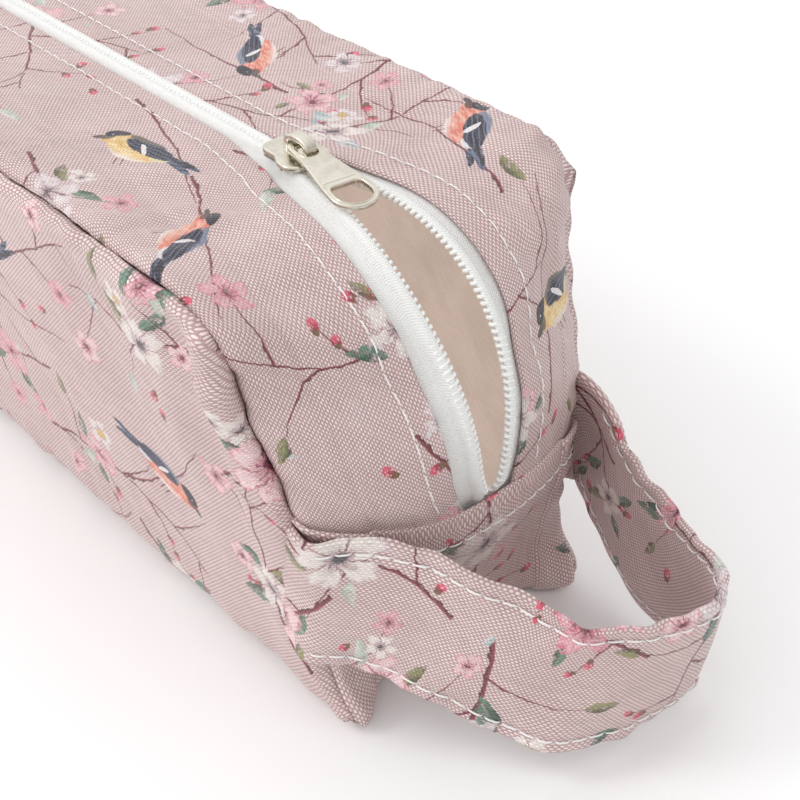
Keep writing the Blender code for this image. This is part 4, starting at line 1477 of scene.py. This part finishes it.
def metal(node, body, *meshes):
    bm = bmesh.new()
    for mesh in meshes:
        bm.from_mesh(mesh)
    bmesh.ops.remove_doubles(bm, verts=bm.verts, dist=1e-7)
    bmesh.ops.recalc_face_normals(bm, faces=bm.faces)
    mesh = bpy.data.meshes.new(f"{node}_metal")
    bm.to_mesh(mesh)
    bm.free()
    item = show(mesh, NICKEL)
    mesh.set_sharp_from_angle(angle=math.radians(50))
    item.modifiers.new("shading", "WEIGHTED_NORMAL").keep_sharp = True
    place(item, body, "nickel", node)


def both_sides(half):
    """Closed outline from the corners (x, y, radius) of one half, mirrored in y."""
    return rounded(half + [(x, -y, r) for x, y, r in half[::-1]], 7, True)


def build_slider():
    lo, hi = BOX["slider_body"]
    z0, z1 = lo[2] / MM, hi[2] / MM
    nose, rear = (hi[0] - SLIDER_X) / MM, (lo[0] - SLIDER_X) / MM
    at = Matrix.Translation((SLIDER_X, 0, 0))
    shield = both_sides([(nose, 3.6, 2.2), (nose - 2.0, 5.3, 2.4), (1.6, 5.1, 3.5),
                         (-1.0, 3.6, 3.5), (rear, 3.7, 2.4)])
    under = [(x * 0.92, y * 0.62) for x, y in shield]
    neck = rounded([(3.0, 0, 0.2), (4.4, -0.65, 0.5), (5.6, 0, 0.2), (4.4, 0.65, 0.5)], 7, True)
    parts = [plate([shield], z1 - 1.1, z1, 0.38, at), plate([under], z0, z0 + 1.0, 0.3, at),
             plate([neck], z0 + 0.5, z1 - 0.5, 0.05, at)]
    for _word, side in SIDES:
        rail = [(rear + 1.4, 3.3), (-1.0, 3.3), (2.4, 4.75), (2.4, 4.1), (-1.0, 2.65),
                (rear + 1.4, 2.65)]
        rail = rounded([(x, y * side, 0.25) for x, y in rail], 3, True)
        parts.append(plate([rail], z1 - 1.9, z1 - 0.4, 0.15, at))
    metal("slider_body", "slider", *parts)
    box = BOX["slider_crown"]
    centre_x, pivot_z = (box[0][0] + box[1][0]) / 2, hi[2] + 0.0017
    angles = np.linspace(0, math.pi, 25)
    outer = [(3.5 * math.cos(a), 2.25 * math.sin(a) ** 0.75) for a in angles]
    inner = [(-2.1 * math.cos(a), 1.05 * math.sin(a) ** 0.75) for a in angles]
    arch = [(3.7, -1.9)] + outer + [(-3.7, -1.9), (-2.2, -1.9)] + inner + [(2.2, -1.9)]
    upright = Matrix(((1, 0, 0, centre_x), (0, 0, -1, 0), (0, 1, 0, pivot_z), (0, 0, 0, 1)))
    pad = rounded([(3.9, 1.5, 0.8), (-3.9, 1.5, 0.8), (-3.9, -1.5, 0.8), (3.9, -1.5, 0.8)], 7, True)
    metal("slider_crown", "slider", plate([arch], -1.3, 1.3, 0.42, upright),
          plate([pad], z1 - 0.05, z1 + 0.22, 0.1, Matrix.Translation((centre_x, 0, 0))))
    return Vector((centre_x, 0.0, pivot_z))


def build_tab(pivot):
    tilt = (Matrix.Translation(pivot) @ Matrix.Rotation(math.radians(-7.0), 4, "Z")
            @ Matrix.Rotation(math.radians(6.5), 4, "Y"))
    half = [(-1.1, 2.6, 1.2), (5.2, 2.9, 6.0), (14.0, 4.3, 8.0), (22.0, 5.0, 4.5)]
    outline = rounded([(x, -y, r) for x, y, r in half] + half[::-1], 7, True)
    loop = rounded([(0.5, -1.7, 0.9), (4.5, -1.7, 1.5), (4.5, 1.7, 1.5), (0.5, 1.7, 0.9)], 7, True)
    grip = rounded([(14.6, -3.2, 1.2), (20.9, -3.8, 3.3), (20.9, 3.8, 3.3), (14.6, 3.2, 1.2)],
                   7, True)
    rim = [(17.8 + (x - 17.8) * 1.14, y * 1.14) for x, y in grip]
    step = rounded([(6.4, -2.6, 0.3), (13.3, -3.4, 0.4), (13.3, 3.4, 0.4), (7.8, 2.8, 0.3)],
                   7, True)
    metal("pull_tab", "pull_tab", plate([outline, loop, grip], -0.5, 0.5, 0.34, tilt),
          plate([rim, grip], -0.56, 0.60, 0.28, tilt), plate([step], -0.40, 0.58, 0.06, tilt))


build_tab(build_slider())


# ------------------------------------------------------------------ wrist strap

STRAP_STATIONS = np.array([
    # x, y, height of the middle, lean from upright in degrees
    (0.0985, -0.0345, 0.0360, 0.0), (0.1068, -0.0352, 0.0355, 0.0),
    (0.1130, -0.0290, 0.0345, 4.0), (0.1210, -0.0220, 0.0315, 8.0),
    (0.1290, -0.0170, 0.0280, 10.0), (0.1360, -0.0120, 0.0240, 8.0),
    (0.1430, -0.0060, 0.0215, 4.0), (0.1480, 0.0020, 0.0205, -2.0),
    (0.1510, 0.0110, 0.0200, -8.0), (0.1515, 0.0200, 0.0195, -9.0),
    (0.1470, 0.0270, 0.0190, -2.0), (0.1390, 0.0300, 0.0185, 2.0),
    (0.1305, 0.0310, 0.0195, 0.0), (0.1220, 0.0325, 0.0235, 0.0),
    (0.1145, 0.0345, 0.0290, 3.0), (0.1068, 0.0362, 0.0345, 5.0),
    (0.0985, 0.0350, 0.0345, 5.0),
])
STRAP_HALF = 0.0150  # half its width
STRAP_THICK = 0.0018
STITCH_LINE = 0.0121  # its stitch rows run this far from the middle


def build_strap():
    mid = refine(STRAP_STATIONS, 24, 0)
    run = lengths(mid[:, :3])
    d = np.linspace(0, run[-1], 230)
    mid = columns(d, run, mid)
    for _ in range(6):
        mid[1:-1] = 0.25 * mid[:-2] + 0.5 * mid[1:-1] + 0.25 * mid[2:]
    along = unit(np.gradient(mid[:, :3], axis=0))
    flat = unit(along * [1, 1, 0])
    outward = np.stack([flat[:, 1], -flat[:, 0], np.zeros(len(flat))], 1)
    lean = np.radians(mid[:, 3])[:, None]
    up = np.array([0, 0, 1.0]) * np.cos(lean) - outward * np.sin(lean)
    up = unit(up - along * np.sum(up * along, 1, keepdims=True))
    face = unit(np.cross(along, up))
    face *= np.sign(np.sum(face * outward, 1, keepdims=True))
    # cross-section: flat faces with pressed folded edges and slight hollows on the stitch rows
    w = np.linspace(-1, 1, 41)
    row_dip = np.exp(-((np.abs(w) * STRAP_HALF - STITCH_LINE) / 0.0011) ** 2)
    puffy = 1.0 - 0.38 * row_dip - 0.10 * np.cos(np.pi * w)
    end = np.sqrt(np.maximum(1 - np.abs(w) ** 26, 0))
    half_t = 0.5 * STRAP_THICK * puffy * np.maximum(end, 0.02)
    # waves out of its plane: seed, wavelength, their size across the width
    ripple = sum(waves(d, seed, size)[:, None] * height for seed, size, height in (
        (61, 0.009, row_dip * 0.00016), (67, 0.030, np.abs(w) ** 3 * 0.0007),
        (71, 0.011, np.abs(w) ** 6 * 0.00035), (73, 0.016, np.cos(w * 4.0) * 0.00025)))
    spread = w * STRAP_HALF
    centre = mid[:, None, :3] + up[:, None] * spread[:, None] + face[:, None] * ripple[..., None]
    outer, inner = (centre + face[:, None] * (half_t * sign)[:, None] for sign in (1, -1))
    loop = np.concatenate([outer, inner[:, ::-1][:, 1:-1]], 1)
    loop[..., 2] = np.maximum(loop[..., 2], 0.0002)
    item = sheet("wrist_strap_cloth", loop, PRINTED, close_v=True)
    back = STRAP_HALF + np.linspace(0, 2 * STRAP_HALF, len(w))[1:-1]
    uv = np.stack(np.broadcast_arrays(d[:, None], np.concatenate([spread, back])), -1)
    paint(item, uv, Print(-4, 200, -20, 50, 47, BIRDS["strap"], 36.0), 4 * STRAP_HALF)
    place(item, "strap", "printed_cloth", "wrist_strap")
    keep = slice(14, -14)
    for level, sign in (("lower", 1), ("upper", -1)):
        j = int(np.argmin(np.abs(spread + sign * STITCH_LINE)))
        for name, surface, turn in (("outer", outer, 1), ("inner", inner, -1)):
            stitch_row(f"strap_stitch_{level}_{name}", surface[keep, j], face[keep] * turn,
                       80 + j + turn, body="strap", radius=0.00021, lift=0.00016)


build_strap()


# ------------------------------------------------------------------ floor, light, camera

def aim(item, location, direction, roll=0.0):
    """Places a light or camera so that it looks along direction."""
    item.location = location
    item.rotation_mode = "QUATERNION"
    turn = Matrix.Rotation(math.radians(roll), 3, "Z").to_quaternion()
    item.rotation_quaternion = direction.to_track_quat("-Z", "Y") @ turn
    bpy.context.scene.collection.objects.link(item)


def build_floor():
    size = 3.0
    floor = mesh_item("studio_floor", [(-size, -size, 0), (size, -size, 0), (size, size, 0),
                                       (-size, size, 0)], [(0, 1, 2, 3)],
                      new_material("studio_floor", lambda n: {
                          "Base Color": (0.97, 0.97, 0.97, 1.0), "Roughness": 0.8}))
    floor.location.z = -0.0001


def build_light():
    world = bpy.data.worlds.new("studio")
    bpy.context.scene.world = world
    world.use_nodes = True
    n, sky = Nodes(world.node_tree), world.node_tree.nodes["Background"]
    toward = n.wire("ShaderNodeVectorMath", (n.wire("ShaderNodeTexCoord", pick="Generated"),
                                             (-0.66, -0.42, 0.62)), "Value", operation="DOT_PRODUCT")
    n.feed(sky.inputs["Strength"], n.ramp(toward, -1.0, 1.0, 0.46, 1.28, "LINEAR"))
    n.feed(sky.inputs["Color"], (1.0, 1.0, 1.0))
    light = bpy.data.lights.new("key", "AREA")
    assign(light, shape="DISK", size=0.30, energy=1.5)
    spot = Vector((-0.32, -0.52, 0.70))
    aim(bpy.data.objects.new("key", light), spot, Vector((0.05, 0, 0.03)) - spot)


def build_camera():
    data = bpy.data.cameras.new("camera")
    assign(data, lens=65.0, sensor_width=36.0, clip_start=0.01)
    item = bpy.data.objects.new("camera", data)
    az, el = math.radians(48.70), math.radians(37.18)
    back = Vector((math.sin(az) * math.cos(el), -math.cos(az) * math.cos(el), math.sin(el)))
    aim(item, (0.2524, -0.1420, 0.2157), -back, -0.56)
    bpy.context.scene.camera = item


build_floor()
build_light()
build_camera()
bpy.context.scene.view_settings.view_transform = "Standard"
